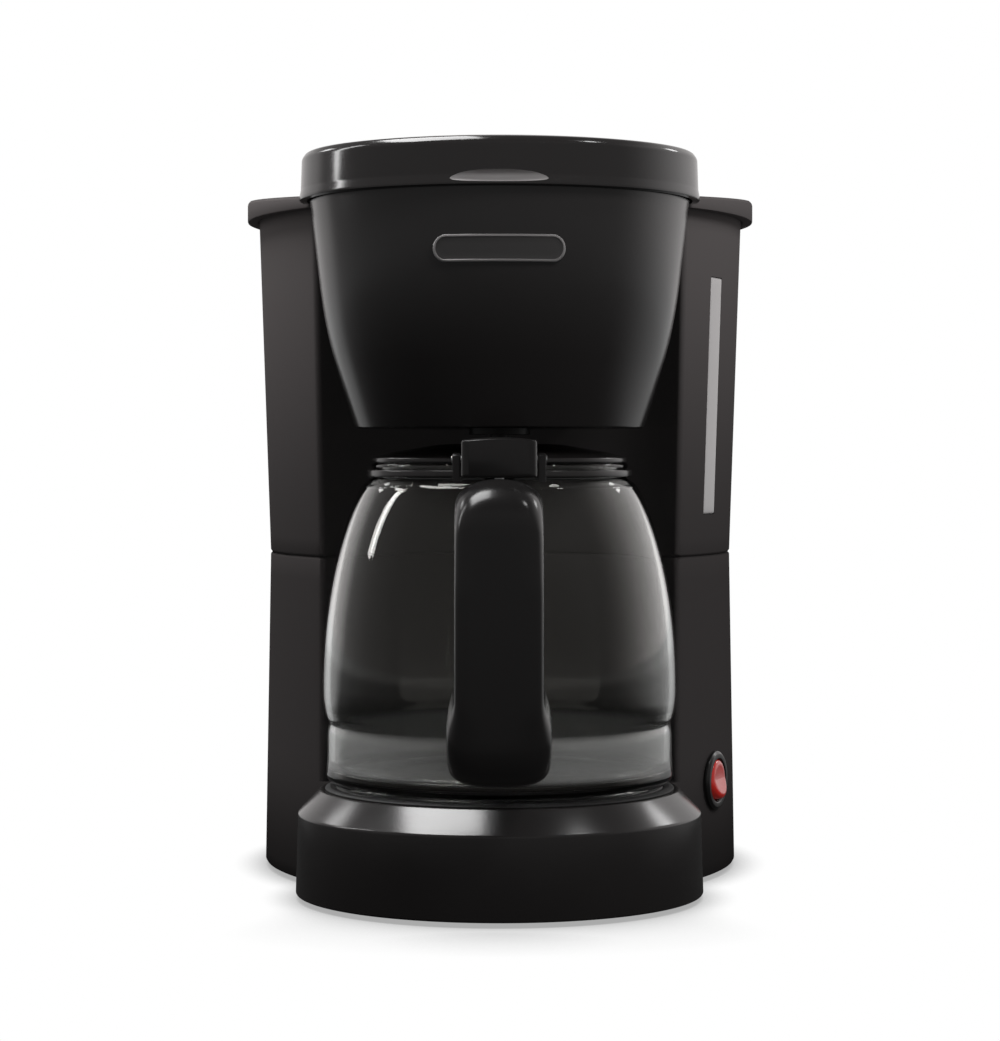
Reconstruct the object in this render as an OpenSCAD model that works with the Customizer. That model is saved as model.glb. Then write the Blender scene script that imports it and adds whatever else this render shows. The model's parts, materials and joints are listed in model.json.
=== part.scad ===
// Five-cup drip coffee maker with a glass carafe, as an assembly of its separate pieces.
// Millimetres. +Z is up, the front faces -Y, and the origin is under the middle of the whole
// machine, at the level that its feet stand on. Most pieces are drawn about the carafe's own
// upright axis and then moved back by on_axis().

/* [Carafe] */
// Widest radius of the carafe's glass
carafe_r = 58.4; // [56:0.1:60]
// Height of the glass, from its foot to the top of its rim
carafe_h = 105.5; // [100:0.5:112]
// Height of the straight band of glass under the waist groove
carafe_band_h = 20; // [17:0.5:23]
// Outer radius of the glass neck
neck_r = 41.4; // [39:0.1:43]
// Thickness of the glass
glass_t = 2.2; // [1.8:0.1:2.8]
// Height of the carafe lid's dome above the glass rim
carafe_lid_rise = 6.3; // [5.5:0.1:8]
// Radius of the drip hole in the carafe lid
drip_hole_r = 8.4; // [7.5:0.1:10]

/* [Carafe handle] */
// Width of the grip across the front
grip_w = 27; // [25:0.5:30]
// Distance of the grip's front face from the carafe's axis
grip_reach = 96; // [92:0.5:102]
// Thickness of the grip, front to back
grip_t = 17; // [14:0.5:19]
// Width of the flared foot of the handle
grip_foot_w = 32; // [31:0.5:36]
// Height of the flared foot of the handle
grip_foot_h = 20; // [17:0.5:23]
// Width of the thumb block on the carafe lid
thumb_w = 23.6; // [20:0.1:24.6]

/* [Base] */
// Height of the rubber feet under the housing
foot_h = 1.6; // [1.2:0.1:3]
// Height of the base housing, from its lower edge to its flat top
base_h = 34.4; // [32:0.1:37]
// Width of the bevel round the top of the base
bevel_w = 7.5; // [6:0.1:8.5]
// Height of the same bevel
bevel_h = 7.7; // [6:0.1:8.5]
// Draft of the round wall of the base, as a loss of radius
base_draft = 0.8; // [0.4:0.1:1.2]
// Thickness of the moulded housings
wall = 2.4; // [2:0.1:2.8]
// How far the warming plate's edge lies inside the carafe's widest radius
plate_inset = 4.4; // [3.5:0.1:6]
// How far the warming plate stands above the base
plate_rise = 1.5; // [1.2:0.1:2.5]

/* [Tower] */
// Half the width of the tower at its waist, where the tank meets the base
waist_half_w = 82; // [80:0.5:84]
// Growth of the tower's outline from the waist down to the floor
foot_grow = 2; // [1:0.1:3]
// Growth of the tower's outline from the waist up to the deck
top_grow = 4; // [3:0.1:5]
// Radius of the tower's curved sides, seen from above
side_r = 119; // [115:1:124]
// Distance of the tower's widest point behind the carafe's axis
widest_y = 87; // [84:0.5:90]
// Distance of the tower's flat back behind the carafe's axis
back_y = 140; // [137:0.5:146]
// Radius of the tower's rear corners
corner_r = 24; // [20:0.5:27]
// Gap between the carafe and the hollow front of the tower
bay_gap = 3.4; // [3:0.1:4.5]
// Height of the seam between the base and the water tank
split_z = 111.5; // [108:0.5:116]
// How far the collar of the deck stands out from the tank
collar_out = 4; // [3:0.1:5]
// Height of the collar
collar_h = 7; // [6:0.1:9]

/* [Brew head] */
// Air gap between the carafe lid and the underside of the brew head
head_clear = 5.1; // [4.6:0.1:7]
// Height of the brew head
head_h = 75; // [71:0.5:80]
// Radius of the brew head at its lower edge
head_low_r = 47.4; // [45:0.1:49]
// Radius of the brew head at its knee
head_knee_r = 57.4; // [56:0.1:58.5]
// Height of the knee above the lower edge
head_knee_h = 32.5; // [29:0.5:36]
// Rise of the deck above the rim of the brew head
deck_rise = 5.4; // [5:0.1:7]

/* [Lid] */
// Height of the lid's rim
lid_h = 16; // [15:0.1:18]
// How far the lid's lip overhangs the brew head
lid_over = 3.4; // [3:0.1:4.5]
// Rise of the domed top of the lid
lid_dome = 3; // [2:0.1:4]
// Half the width of the lid's tongue over the tank
tongue_half_w = 56; // [53:0.5:58]
// Radius of the lid's hinge pin
hinge_pin_r = 1.5; // [1.2:0.1:2]

/* [Water window] */
// Width of the water window
window_w = 10.5; // [8:0.5:14]
// Height of the water window
window_h = 81; // [70:1:86]
// Height of the window's lower end above the seam
window_up = 14; // [10:0.5:18]
// Bearing of the window on the curved side, from straight sideways
window_a = -24.5; // [-28:0.5:-22]

/* [Switch and cord] */
// Diameter of the round hole for the switch
switch_d = 17.4; // [16:0.1:19]
// Height of the switch above the base's lower edge
switch_up = 32.4; // [30:0.1:34]
// Bearing of the switch on the curved side, from straight sideways
switch_a = -23.5; // [-25:0.5:-21]
// Radius of the cord's hole in the rear grommet
cord_hole_r = 3.6; // [3:0.1:4.2]
// Sideways place of the cord grommet, from the middle
cord_x = -34; // [-38:0.5:-30]

/* [Nameplate] */
// Width of the blank nameplate
plate_w = 42; // [30:0.5:50]
// Height of the blank nameplate
plate_h = 8.6; // [6:0.1:11]

/* [Hidden] */
$fn = 96;

// Clearances
slip = 0.2;          // between pieces that slide into or lie on each other
seat = 0.1;          // between pieces that are pressed or clipped together
spin = 0.05;         // radial clearance of a pin in its bore
eps = 0.01;          // overlap that joins two shapes of one piece
reach = 300;         // longer than anything that a cutting shape has to pass

// Colours
black = "#1c1b1b";
grey_black = "#3b3938";
steel = "#b9bbbd";
aluminium = "#c8cacc";
rubber = "#151515";
silicone = "#d8d4c8";
white_plastic = "#e4e2dc";
clear = [0.85, 0.9, 0.92, 0.35];
smoke = [0.62, 0.62, 0.62, 0.6];

// Heights, from the floor up
base_top_z = foot_h + base_h;
bevel_z = base_top_z - bevel_h;
plate_z = base_top_z + plate_rise;
carafe_z = plate_z + slip;
rim_z = carafe_z + carafe_h;
carafe_lid_z = rim_z + carafe_lid_rise;
head_floor_z = carafe_lid_z + head_clear;
head_top_z = head_floor_z + head_h;
deck_z = head_top_z + deck_rise;
deck_t = 2.5;
collar_z = deck_z - collar_h;
slope_y = 64;          // in front of this line the deck falls away towards the front
deck_slope = 0.055;
tank_top_z = deck_z - deck_t - seat;
tank_floor_t = 3;
lid_lap = 0.6;
lid_z = head_top_z - lid_lap;
lid_edge_z = lid_z + lid_h;

// Radii about the carafe's axis
base_top_r = carafe_r + 0.6;
base_wall_r = base_top_r + bevel_w;
base_r = base_wall_r + base_draft;
recess_r = carafe_r + bay_gap;
recess_slope = 0.009;
function recess_at(z) = recess_r + recess_slope * (z - split_z);
head_gap = 0.5;
head_top_r = recess_at(head_top_z) - head_gap;
lid_r = head_top_r + lid_over;

// Distances along the machine
collar_back = back_y + top_grow + collar_out;
axis_y = (grip_reach - collar_back) / 2;

module on_axis() {
    translate([0, axis_y, 0]) children();
}

function mix(a, b, t) = a + (b - a) * t;
function bend(a, b, c, t) = pow(1 - t, 2) * a + 2 * t * (1 - t) * b + t * t * c;
function reversed(v) = [for (i = [len(v) - 1 : -1 : 0]) v[i]];

// ---------------------------------------------------------------- shapes that several pieces share

// Tower outline: two side arcs, a flat back and two round rear corners, all drawn about fixed
// centres, so that a growth of the outline keeps every arc tangent to the next.
side_c = side_r - waist_half_w;
corner_y = back_y - corner_r;
corner_x = sqrt(pow(side_r - corner_r, 2) - pow(corner_y - widest_y, 2)) - side_c;
corner_a = atan2(corner_y - widest_y, corner_x + side_c);

// A slab of the tower from z0 to z1, whose outline is grown by g0 at z0 and by g1 at z1
module tower_slab(z0, z1, g0, g1) {
    h = z1 - z0;
    translate([0, 0, z0]) difference() {
        intersection() {
            translate([-side_c, widest_y, 0]) cylinder(h = h, r1 = side_r + g0, r2 = side_r + g1);
            translate([side_c, widest_y, 0]) cylinder(h = h, r1 = side_r + g0, r2 = side_r + g1);
            rotate([90, 0, 90]) linear_extrude(reach, center = true)
                polygon([[-reach, 0], [back_y + g0, 0], [back_y + g1, h], [-reach, h]]);
        }
        for (side = [0, 1]) mirror([side, 0, 0]) rear_corner_cut(h, g0, g1);
    }
}

// What a rounded rear corner takes away
module rear_corner_cut(h, g0, g1) {
    out = 3 * corner_r;
    translate([corner_x, corner_y, 0]) difference() {
        translate([0, 0, -eps]) linear_extrude(h + 2 * eps) polygon([
            [0, 0], out * [cos(corner_a), sin(corner_a)], out * [1, 1], [0, out]]);
        translate([0, 0, -2 * eps])
            cylinder(h = h + 4 * eps, r1 = corner_r + g0, r2 = corner_r + g1);
    }
}

// The hollow front of the tower as a solid, grown by g
module recess_plug(z0, z1, g) {
    translate([0, 0, z0]) cylinder(h = z1 - z0, r1 = recess_at(z0) + g, r2 = recess_at(z1) + g);
}

// Growth of the outline at height z, below and above the waist
function lower_grow(z) = foot_grow * (split_z - z) / (split_z - foot_h);
function upper_grow(z) = top_grow * (z - split_z) / (tank_top_z - split_z);

// Moves its children to the curved right side: +X points out of it, +Y along it, +Z up
module on_side(a, z, grow) {
    translate([-side_c, widest_y, z]) rotate([0, 0, a]) translate([side_r + grow, 0, 0])
        children();
}

// A tube along Z
module tube(h, ro, ri) {
    difference() {
        cylinder(h = h, r = ro);
        translate([0, 0, -1]) cylinder(h = h + 2, r = ri);
    }
}

// A rod of radius r that runs back from the origin, bends up and ends at height top
module bent_rod(r, run, bend_r, top) {
    rotate([-90, 0, 0]) cylinder(h = run, r = r);
    translate([0, run, bend_r]) rotate([0, 90, 0]) rotate_extrude(angle = 90)
        translate([bend_r, 0]) circle(r);
    translate([0, run + bend_r, bend_r]) cylinder(h = top - bend_r, r = r);
}

// A pan-head screw along Z: its head hangs below z = 0 and its shank points up
module screw(len, r, head_r, head_h) {
    difference() {
        union() {
            translate([0, 0, -head_h]) cylinder(h = head_h, r = head_r);
            translate([0, 0, -eps]) cylinder(h = len + eps, r = r);
        }
        for (a = [0, 90]) rotate([0, 0, a])
            translate([-head_r * 0.6, -0.4, -head_h - 1]) cube([head_r * 1.2, 0.8, 1.9]);
    }
}

// A plate with rounded corners, centred on X and Y
module round_plate(w, d, h, r) {
    linear_extrude(h) union() {
        square([w, d - 2 * r], center = true);
        square([w - 2 * r, d], center = true);
        for (x = [-1, 1], y = [-1, 1]) translate([x * (w / 2 - r), y * (d / 2 - r)]) circle(r);
    }
}

// A wire along a list of points
module wire(points, r) {
    for (i = [0 : len(points) - 2]) {
        d = points[i + 1] - points[i];
        translate(points[i]) rotate([0, acos(d.z / norm(d)), atan2(d.y, d.x)])
            cylinder(h = norm(d), r = r, $fn = 10);
    }
    for (i = [1 : len(points) - 2]) translate(points[i]) sphere(r * 1.04, $fn = 10);
}

// ---------------------------------------------------------------- base

plate_hole_r = carafe_r - plate_inset + 2;
boss_r = 4.2;
bottom_t = 2.2;
bottom_screw_r = 1.5;
front_boss_at = [base_wall_r - wall - boss_r + 0.9, 32];   // radius and bearing from the front
rear_boss_at = [corner_x, corner_y];
cord_z = foot_h + 16;
switch_z = foot_h + switch_up;
housing_r = switch_d / 2 - seat;
bezel_r = housing_r + 1.5;
housing_d = 12.5;
switch_grow = lower_grow(switch_z - bezel_r) + seat;
cord_hole_out_r = cord_hole_r + 2.4;
rear_screw_x = 46;
rear_screw_z = split_z - 7;

// Places of the four screw bosses
function boss_places() = [for (s = [-1, 1]) each [
    [s * front_boss_at[0] * sin(front_boss_at[1]), -front_boss_at[0] * cos(front_boss_at[1])],
    [s * rear_boss_at[0], rear_boss_at[1]]]];

module base_outside() {
    rotate_extrude() polygon([[0, foot_h], [base_r, foot_h], [base_wall_r, bevel_z],
                              [base_top_r, base_top_z], [0, base_top_z]]);
    difference() {
        tower_slab(foot_h, split_z, foot_grow, 0);
        recess_plug(base_top_z, split_z + 1, 0);
    }
}

module base_inside() {
    low = foot_h - 1;
    knee = wall * 0.41;
    rotate_extrude() polygon([[0, low], [base_r - wall, low], [base_wall_r - wall, bevel_z - knee],
                              [base_top_r - knee, base_top_z - wall], [0, base_top_z - wall]]);
    difference() {
        tower_slab(low, split_z + 1, foot_grow - wall, -wall);
        recess_plug(base_top_z - wall, split_z + 2, wall);
    }
}

module base_shell() on_axis() color(black) difference() {
    union() {
        difference() {
            base_outside();
            base_inside();
        }
        for (p = boss_places()) translate([p.x, p.y, foot_h + bottom_t + slip])
            cylinder(h = base_h - bevel_h - 8, r = boss_r);
        rear_boss_webs();
    }
    for (p = boss_places()) translate([p.x, p.y, 0])
        cylinder(h = base_h - bevel_h - 8, r = bottom_screw_r + seat);
    translate([0, 0, base_top_z - wall - 1]) cylinder(h = wall + 2, r = plate_hole_r);
    on_side(switch_a, switch_z, lower_grow(switch_z))
        rotate([0, -90, 0]) translate([0, 0, -3]) cylinder(h = wall + 8, r = switch_d / 2);
    translate([cord_x, back_y - 6, cord_z]) rotate([-90, 0, 0])
        cylinder(h = 12, r = cord_hole_out_r);
    for (s = [-1, 1]) translate([s * rear_screw_x, back_y - 6, rear_screw_z])
        rotate([-90, 0, 0]) cylinder(h = 12, r = 1.8);
}

// Webs that tie the rear screw bosses to the back wall
module rear_boss_webs() {
    for (s = [-1, 1])
        translate([s * corner_x - 1, corner_y, foot_h + bottom_t + slip])
            cube([2, corner_r + lower_grow(bevel_z) - wall / 2, base_h - bevel_h - 8]);
}

foot_r = 7;
foot_stem_r = 2.5;
function foot_places() = [
    [-40, -36], [40, -36], [-corner_x, corner_y - 14], [corner_x, corner_y - 14]];

module bottom_plate() on_axis() color(black) difference() {
    intersection() {
        translate([0, 0, foot_h]) union() {
            cylinder(h = bottom_t, r = base_r - wall - slip - base_draft / 2);
            translate([0, 0, -foot_h]) tower_slab(foot_h, foot_h + bottom_t,
                foot_grow - wall - slip, foot_grow - wall - slip);
        }
        translate([-reach, -reach, foot_h]) cube([2 * reach, 2 * reach, bottom_t]);
    }
    for (p = boss_places()) translate([p.x, p.y, foot_h - 1]) {
        cylinder(h = bottom_t + 2, r = bottom_screw_r + seat);
        cylinder(h = 2.2, r = 3.1);
    }
    for (p = foot_places()) translate([p.x, p.y, foot_h - 1])
        cylinder(h = bottom_t + 2, r = foot_stem_r + seat / 2);
    vents(5, 7, [0, 6]);
    vents(5, 7, [0, 72]);
}

// Rows of slots in the bottom plate
module vents(count, pitch, at) {
    for (i = [0 : count - 1])
        translate([at.x - 18, at.y + (i - (count - 1) / 2) * pitch - 1.25, foot_h - 1])
            cube([36, 2.5, bottom_t + 2]);
}

module bottom_screws() on_axis() color(steel)
    for (p = boss_places()) translate([p.x, p.y, foot_h + 1.2 - seat / 2])
        screw(11, bottom_screw_r, 2.9, 1.1);

module rubber_feet() on_axis() color(rubber)
    for (p = foot_places()) translate([p.x, p.y, 0]) {
        rotate_extrude() polygon([[0, 0], [foot_r - 0.8, 0], [foot_r, 0.8],
                                  [foot_r, foot_h - 0.05], [0, foot_h - 0.05]]);
        cylinder(h = foot_h + bottom_t + 1, r = foot_stem_r);
        translate([0, 0, foot_h + bottom_t + 0.05]) cylinder(h = 1.2, r = foot_stem_r + 0.8);
    }

// ---------------------------------------------------------------- warming plate and heater

plate_r = carafe_r - plate_inset;
plate_t = 1.2;
plate_skirt = 2.6;
gasket_t = 0.9;
pipe_r = 4.2;
pipe_bore_r = 2.8;
heater_r = 30;
heater_leg = 43;
hose_r = 6;
heater_z = base_top_z - wall - gasket_t - 0.3 - hose_r;
element_in = 7.6;
element_r = 2.4;
pin_len = 6.5;
pad_z = plate_z - plate_t - seat;

module warming_plate() on_axis() color("#232323") rotate_extrude() polygon([
    [0, plate_z - plate_t], [plate_r - plate_t, plate_z - plate_t],
    [plate_r - plate_t, plate_z - plate_skirt], [plate_r, plate_z - plate_skirt],
    [plate_r, plate_z - 0.8], [plate_r - 0.8, plate_z], [0, plate_z]]);

module plate_gasket() on_axis() color(rubber) {
    low = base_top_z - wall;
    inner = plate_r + seat;
    outer = plate_hole_r - seat / 2;
    lip = plate_hole_r + 1.6;
    rotate_extrude() polygon([
        [inner, low - gasket_t - 0.05], [lip, low - gasket_t - 0.05], [lip, low - 0.05],
        [outer, low - 0.05], [outer, base_top_z + 0.05], [lip, base_top_z + 0.05],
        [lip, base_top_z + 0.5], [outer, base_top_z + gasket_t], [inner, base_top_z + gasket_t]]);
}

// Cross-section of the heater, with x = 0 on the water pipe and the element on the inner side
module heater_section(with_pad) {
    difference() {
        union() {
            circle(pipe_r);
            translate([-element_in, 0]) circle(element_r + 1.2);
            translate([-element_in, -1.6]) square([element_in, 3.2]);
            if (with_pad) translate([-element_in - 2, 0]) square([element_in + 4, pad_z - heater_z]);
        }
        circle(pipe_bore_r);
        translate([-element_in, 0]) circle(element_r + spin);
    }
}

// Two legs that run back from the half ring, for a cross-section drawn as its child
module heater_path(leg) {
    rotate([0, 0, 180]) rotate_extrude(angle = 180) translate([heater_r, 0]) children();
    for (side = [0, 1]) mirror([side, 0, 0]) translate([heater_r, 0, 0])
        rotate([90, 0, 180]) mirror([1, 0, 0]) linear_extrude(leg) children();
}

module heater_body() on_axis() color(aluminium) translate([0, 0, heater_z]) {
    heater_path(heater_leg - 14) heater_section(false);
    rotate([0, 0, 180]) rotate_extrude(angle = 180) translate([heater_r, 0])
        heater_section(true);
    for (s = [-1, 1]) translate([s * heater_r, heater_leg - 14 - eps, 0]) rotate([-90, 0, 0])
        tube(14, pipe_r, pipe_bore_r);
}

module heater_element() on_axis() color("#8d8f90") translate([0, 0, heater_z]) {
    heater_path(heater_leg - 14) translate([-element_in, 0]) circle(element_r);
    for (s = [-1, 1]) translate([s * (heater_r - element_in), heater_leg - 14 - eps, 0])
        rotate([-90, 0, 0]) {
            cylinder(h = 3, r = element_r);
            cylinder(h = pin_len, r = 1.2);
        }
}

// A spring-steel bar that presses the heater up against the plate
module heater_clamp() on_axis() color(steel) {
    bar_z = heater_z - pipe_r - 1.2 - seat;
    half = heater_r + pipe_r;
    difference() {
        union() {
            translate([-half, -7, bar_z]) cube([2 * half, 14, 1.2]);
            translate([0, 0, bar_z]) cylinder(h = pad_z - bar_z - seat, r = 5);
        }
        translate([0, 0, bar_z - 1]) cylinder(h = pad_z, r = 1.6);
    }
}

module heater_clamp_screw() on_axis() color(steel)
    translate([0, 0, heater_z - pipe_r - 1.2 - seat - 0.05]) screw(10, 1.5, 3.4, 1.8);

// Bimetal thermostat, clipped under the clamp bar
module thermostat() on_axis() color(white_plastic) {
    top = heater_z - pipe_r - 1.2 - seat - 0.1;
    translate([heater_r - 13, 0, top - 5]) cylinder(h = 5, r = 7);
    for (s = [-1, 1]) translate([heater_r - 14.5, s * 4 - 0.4, top - 8]) cube([3, 0.8, 4]);
}

// Two thermal fuses in sleeves, in the gap between the heater's legs
module thermal_fuses() on_axis() color(white_plastic)
    for (s = [-1, 1]) translate([s * (heater_r - 21), 7.1 + seat, heater_z - pipe_r - 1.2 - seat + 0.6])
        rotate([-90, 0, 0]) {
            cylinder(h = 16, r = 2.2);
            translate([0, 0, 16 - eps]) cylinder(h = 5, r = 0.6);
        }

// ---------------------------------------------------------------- water circuit

hose_y = 72;
hose_bore_r = pipe_r + seat;
bend_r = 14;
spigot_h = 12;
hose_lap = 9;
spigot_z = split_z - spigot_h;
valve_h = 16;
valve_stub = 10;
valve_body_z = spigot_z - valve_stub - 2 - valve_h;
valve_low_z = valve_body_z - valve_stub;
ball_r = 3;
ball_travel = 2;
chamber_z = valve_body_z + 3.5;

// A hose from the end of a heater leg, back, round a quarter bend and up to height top
module hose_from_heater(x, top) {
    start = heater_leg - hose_lap;
    run = hose_y - bend_r - start;
    translate([x, start, heater_z]) difference() {
        bent_rod(hose_r, run, bend_r, top - heater_z);
        bent_rod(hose_bore_r, run, bend_r, top - heater_z + 1);
        rotate([-90, 0, 0]) translate([0, 0, -1]) cylinder(h = 2, r = hose_bore_r);
    }
}

module cold_hose() on_axis() color(silicone) {
    hose_from_heater(-heater_r, valve_low_z + hose_lap);
    translate([-heater_r, hose_y, spigot_z - valve_stub - 1]) tube(valve_stub + hose_lap, hose_r,
                                                                    hose_bore_r);
}

module hot_hose() on_axis() color(silicone)
    hose_from_heater(heater_r, spigot_z + hose_lap);

// Spring clips round the hose ends
module hose_clips() on_axis() color(steel) {
    clip_r = hose_r + 0.9;
    for (s = [-1, 1]) translate([s * heater_r, heater_leg - 4.4, heater_z]) rotate([-90, 0, 0])
        tube(4, clip_r, hose_r + spin);
    for (z = [valve_low_z + 3, spigot_z - valve_stub + 2, spigot_z + 3])
        translate([-heater_r, hose_y, z]) tube(4, clip_r, hose_r + spin);
    translate([heater_r, hose_y, spigot_z + 3]) tube(4, clip_r, hose_r + spin);
}

// Non-return valve: a caged ball lets water down to the heater and stops it coming back
module check_valve() on_axis() color(white_plastic) translate([-heater_r, hose_y, 0])
    difference() {
        union() {
            translate([0, 0, valve_body_z]) cylinder(h = valve_h, r = 7);
            translate([0, 0, valve_low_z]) cylinder(h = valve_h + 2 * valve_stub, r = pipe_r);
        }
        translate([0, 0, valve_low_z - 1])
            cylinder(h = valve_h + 2 * valve_stub + 2, r = 2.2);
        translate([0, 0, chamber_z]) cylinder(h = 2 * ball_r + ball_travel + 0.6, r = ball_r + 0.5);
        for (a = [0, 90]) rotate([0, 0, a])
            translate([-3.2, -0.7, chamber_z - 1.2]) cube([6.4, 1.4, 1.3]);
    }

module check_ball() on_axis() color("#7c2a22")
    translate([-heater_r, hose_y, chamber_z + ball_r - 0.0]) translate([0, 0, ball_lift])
        sphere(ball_r);
// The ball stands a little above the cage's edge, so that it only just clears it
ball_lift = 0.1;

// ---------------------------------------------------------------- water tank and deck

lip_t = 1.6;
lip_h = 10;

// Everything above the deck's sloping front, at a distance of drop below its top face
module above_slope(drop) {
    rotate([90, 0, 90]) linear_extrude(reach, center = true) polygon([
        [slope_y, deck_z - drop], [slope_y - reach, deck_z - drop - deck_slope * reach],
        [slope_y - reach, deck_z + reach], [slope_y, deck_z + reach]]);
}

module tank_outside() difference() {
    tower_slab(split_z, tank_top_z, 0, top_grow);
    recess_plug(split_z - 1, tank_top_z + 1, 0);
    above_slope(deck_t + seat);
}

module tank_inside() difference() {
    tower_slab(split_z + tank_floor_t, tank_top_z + 1,
        upper_grow(split_z + tank_floor_t) - wall, upper_grow(tank_top_z + 1) - wall);
    recess_plug(split_z, tank_top_z + 2, wall);
}

// The lip that locates the tank inside the top of the base
module tank_lip() {
    out = -wall - slip;
    difference() {
        tower_slab(split_z - lip_h, split_z + eps, out, out);
        recess_plug(split_z - lip_h - 1, split_z + 1, wall + slip);
        difference() {
            tower_slab(split_z - lip_h - 1, split_z + eps, out - lip_t, out - lip_t);
            recess_plug(split_z - lip_h - 2, split_z + 1, wall + slip + lip_t);
        }
    }
    for (s = [-1, 1]) translate([s * rear_screw_x - 5, back_y + out - 8, split_z - lip_h])
        cube([10, 8 - lip_t / 2, lip_h + eps]);
}

module tank_shell() on_axis() color(grey_black) difference() {
    union() {
        difference() {
            tank_outside();
            tank_inside();
        }
        tank_lip();
        translate([-heater_r, hose_y, spigot_z]) cylinder(h = spigot_h + 1, r = pipe_r);
    }
    translate([-heater_r, hose_y, spigot_z - 1]) cylinder(h = spigot_h + 8, r = pipe_bore_r);
    translate([heater_r, hose_y, split_z - 1]) cylinder(h = 8, r = grommet_hole_r);
    window_opening(0);
    for (s = [-1, 1]) {
        translate([s * rear_screw_x, back_y - 14, rear_screw_z]) rotate([-90, 0, 0])
            cylinder(h = 20, r = 1.6);
        translate([s * head_screw_x, 40, head_screw_z]) rotate([-90, 0, 0])
            cylinder(h = 40, r = 1.7);
    }
}

// The upright slot for the window, narrowed all round by g
module window_opening(g) {
    on_side(window_a, split_z + window_up, 0)
        translate([-8, -window_w / 2 + g, g])
            cube([16, window_w - 2 * g, window_h - 2 * g]);
}

// A curved sheet that follows the tank's side, between growths g0 and g1 of its outline
module side_sheet(g0, g1) {
    h = tank_top_z - split_z;
    translate([-side_c, widest_y, split_z]) difference() {
        cylinder(h = h, r1 = side_r + g1, r2 = side_r + top_grow + g1);
        translate([0, 0, -eps])
            cylinder(h = h + 2 * eps, r1 = side_r + g0, r2 = side_r + top_grow + g0);
    }
}

module level_window() on_axis() color(smoke) {
    intersection() {
        side_sheet(-wall - 1, 0.4);
        window_opening(slip / 2);
    }
    intersection() {
        side_sheet(-wall - 1.4, -wall - 0.05);
        window_opening(-3);
    }
}

module tank_strainer() on_axis() color(white_plastic)
    translate([-heater_r, hose_y, split_z + tank_floor_t + 0.05]) difference() {
        union() {
            cylinder(h = 1.2, r = 8);
            cylinder(h = 7, r = 6);
        }
        translate([0, 0, -1]) cylinder(h = 7, r = 4.6);
        for (a = [0 : 30 : 150]) rotate([0, 0, a]) translate([-9, -0.6, 2.2]) cube([18, 1.2, 3]);
    }

module rear_screws() on_axis() color(steel)
    for (s = [-1, 1]) translate([s * rear_screw_x, back_y + lower_grow(rear_screw_z) + seat,
                                 rear_screw_z])
        rotate([90, 0, 0]) screw(9, 1.5, 3, 1.6);

fill_y = [86, 127];
hinge_y = collar_back - 10;
hinge_z = deck_z + 5;
hinge_r = 4;
ear_x = [22, 26];
knuckle_x = [10, 21.7];

module fill_opening() {
    translate([0, (fill_y[0] + fill_y[1]) / 2, deck_z - deck_t - 1])
        round_plate(2 * tongue_half_w - 14, fill_y[1] - fill_y[0], deck_t + 2, 8);
}

module top_deck() on_axis() color(grey_black) {
    grow = top_grow + collar_out;
    difference() {
        union() {
            difference() {
                difference() {
                    tower_slab(collar_z, deck_z, grow, grow);
                    above_slope(0);
                }
                difference() {
                    tower_slab(collar_z - 1, deck_z - deck_t, top_grow + slip, top_grow + slip);
                    above_slope(deck_t);
                }
            }
            for (s = [-1, 1]) hinge_ear(s);
        }
        recess_plug(collar_z - 1, deck_z + 1, 0);
        fill_opening();
        translate([heater_r, hose_y, collar_z]) cylinder(h = collar_h + 2, r = spout_r + seat);
        translate([-reach / 2, hinge_y, hinge_z]) rotate([0, 90, 0])
            cylinder(h = reach, r = hinge_pin_r + spin);
    }
}

module hinge_ear(s) {
    x = s > 0 ? ear_x[0] : -ear_x[1];
    translate([x, hinge_y, hinge_z]) rotate([0, 90, 0])
        cylinder(h = ear_x[1] - ear_x[0], r = hinge_r);
    translate([x, hinge_y - hinge_r, deck_z - eps])
        cube([ear_x[1] - ear_x[0], 2 * hinge_r, hinge_z - deck_z + eps]);
}

module lid_hinge_pin() on_axis() color(steel)
    translate([-ear_x[1] - 0.5, hinge_y, hinge_z]) rotate([0, 90, 0])
        cylinder(h = 2 * ear_x[1] + 1, r = hinge_pin_r);

// ---------------------------------------------------------------- riser and spout

grommet_hole_r = 6.4;
spout_r = 6;
liner_t = 4.5;
lid_t = 2.4;
liner_z = lid_edge_z - 0.6 - lid_t - seat - liner_t;

module riser_tube() on_axis() color(white_plastic)
    translate([heater_r, hose_y, spigot_z]) tube(deck_z - deck_t - spigot_z, pipe_r, pipe_bore_r);

module riser_grommet() on_axis() color(rubber) translate([heater_r, hose_y, 0]) {
    inner = pipe_r + spin;
    top = split_z + tank_floor_t;
    rotate_extrude() polygon([
        [inner, split_z - 1.6], [grommet_hole_r + 1.8, split_z - 1.6],
        [grommet_hole_r + 1.8, split_z - 0.05], [grommet_hole_r - spin, split_z - 0.05],
        [grommet_hole_r - spin, top + 0.05], [grommet_hole_r + 1.8, top + 0.05],
        [grommet_hole_r + 1.2, top + 2], [inner, top + 2]]);
}

module spout_nozzle() on_axis() color(black) translate([heater_r, hose_y, 0]) difference() {
    low = deck_z - deck_t - 6;
    union() {
        translate([0, 0, low]) cylinder(h = liner_z - 0.6 - low, r = spout_r);
        translate([0, 0, deck_z + 0.05]) cylinder(h = 1.2, r = spout_r + 2.6);
    }
    translate([0, 0, low - 1]) cylinder(h = reach, r = pipe_bore_r);
    translate([0, 0, low - 1]) cylinder(h = 7 + seat, r = pipe_r + seat);
}

// Soft ring that meets the lid's channel when the lid is shut
module spout_seal() on_axis() color(silicone)
    translate([heater_r, hose_y, deck_z + 1.3])
        tube(liner_z - deck_z - 1.3 - slip, spout_r + 2.2, spout_r + spin);

// ---------------------------------------------------------------- brew head

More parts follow.
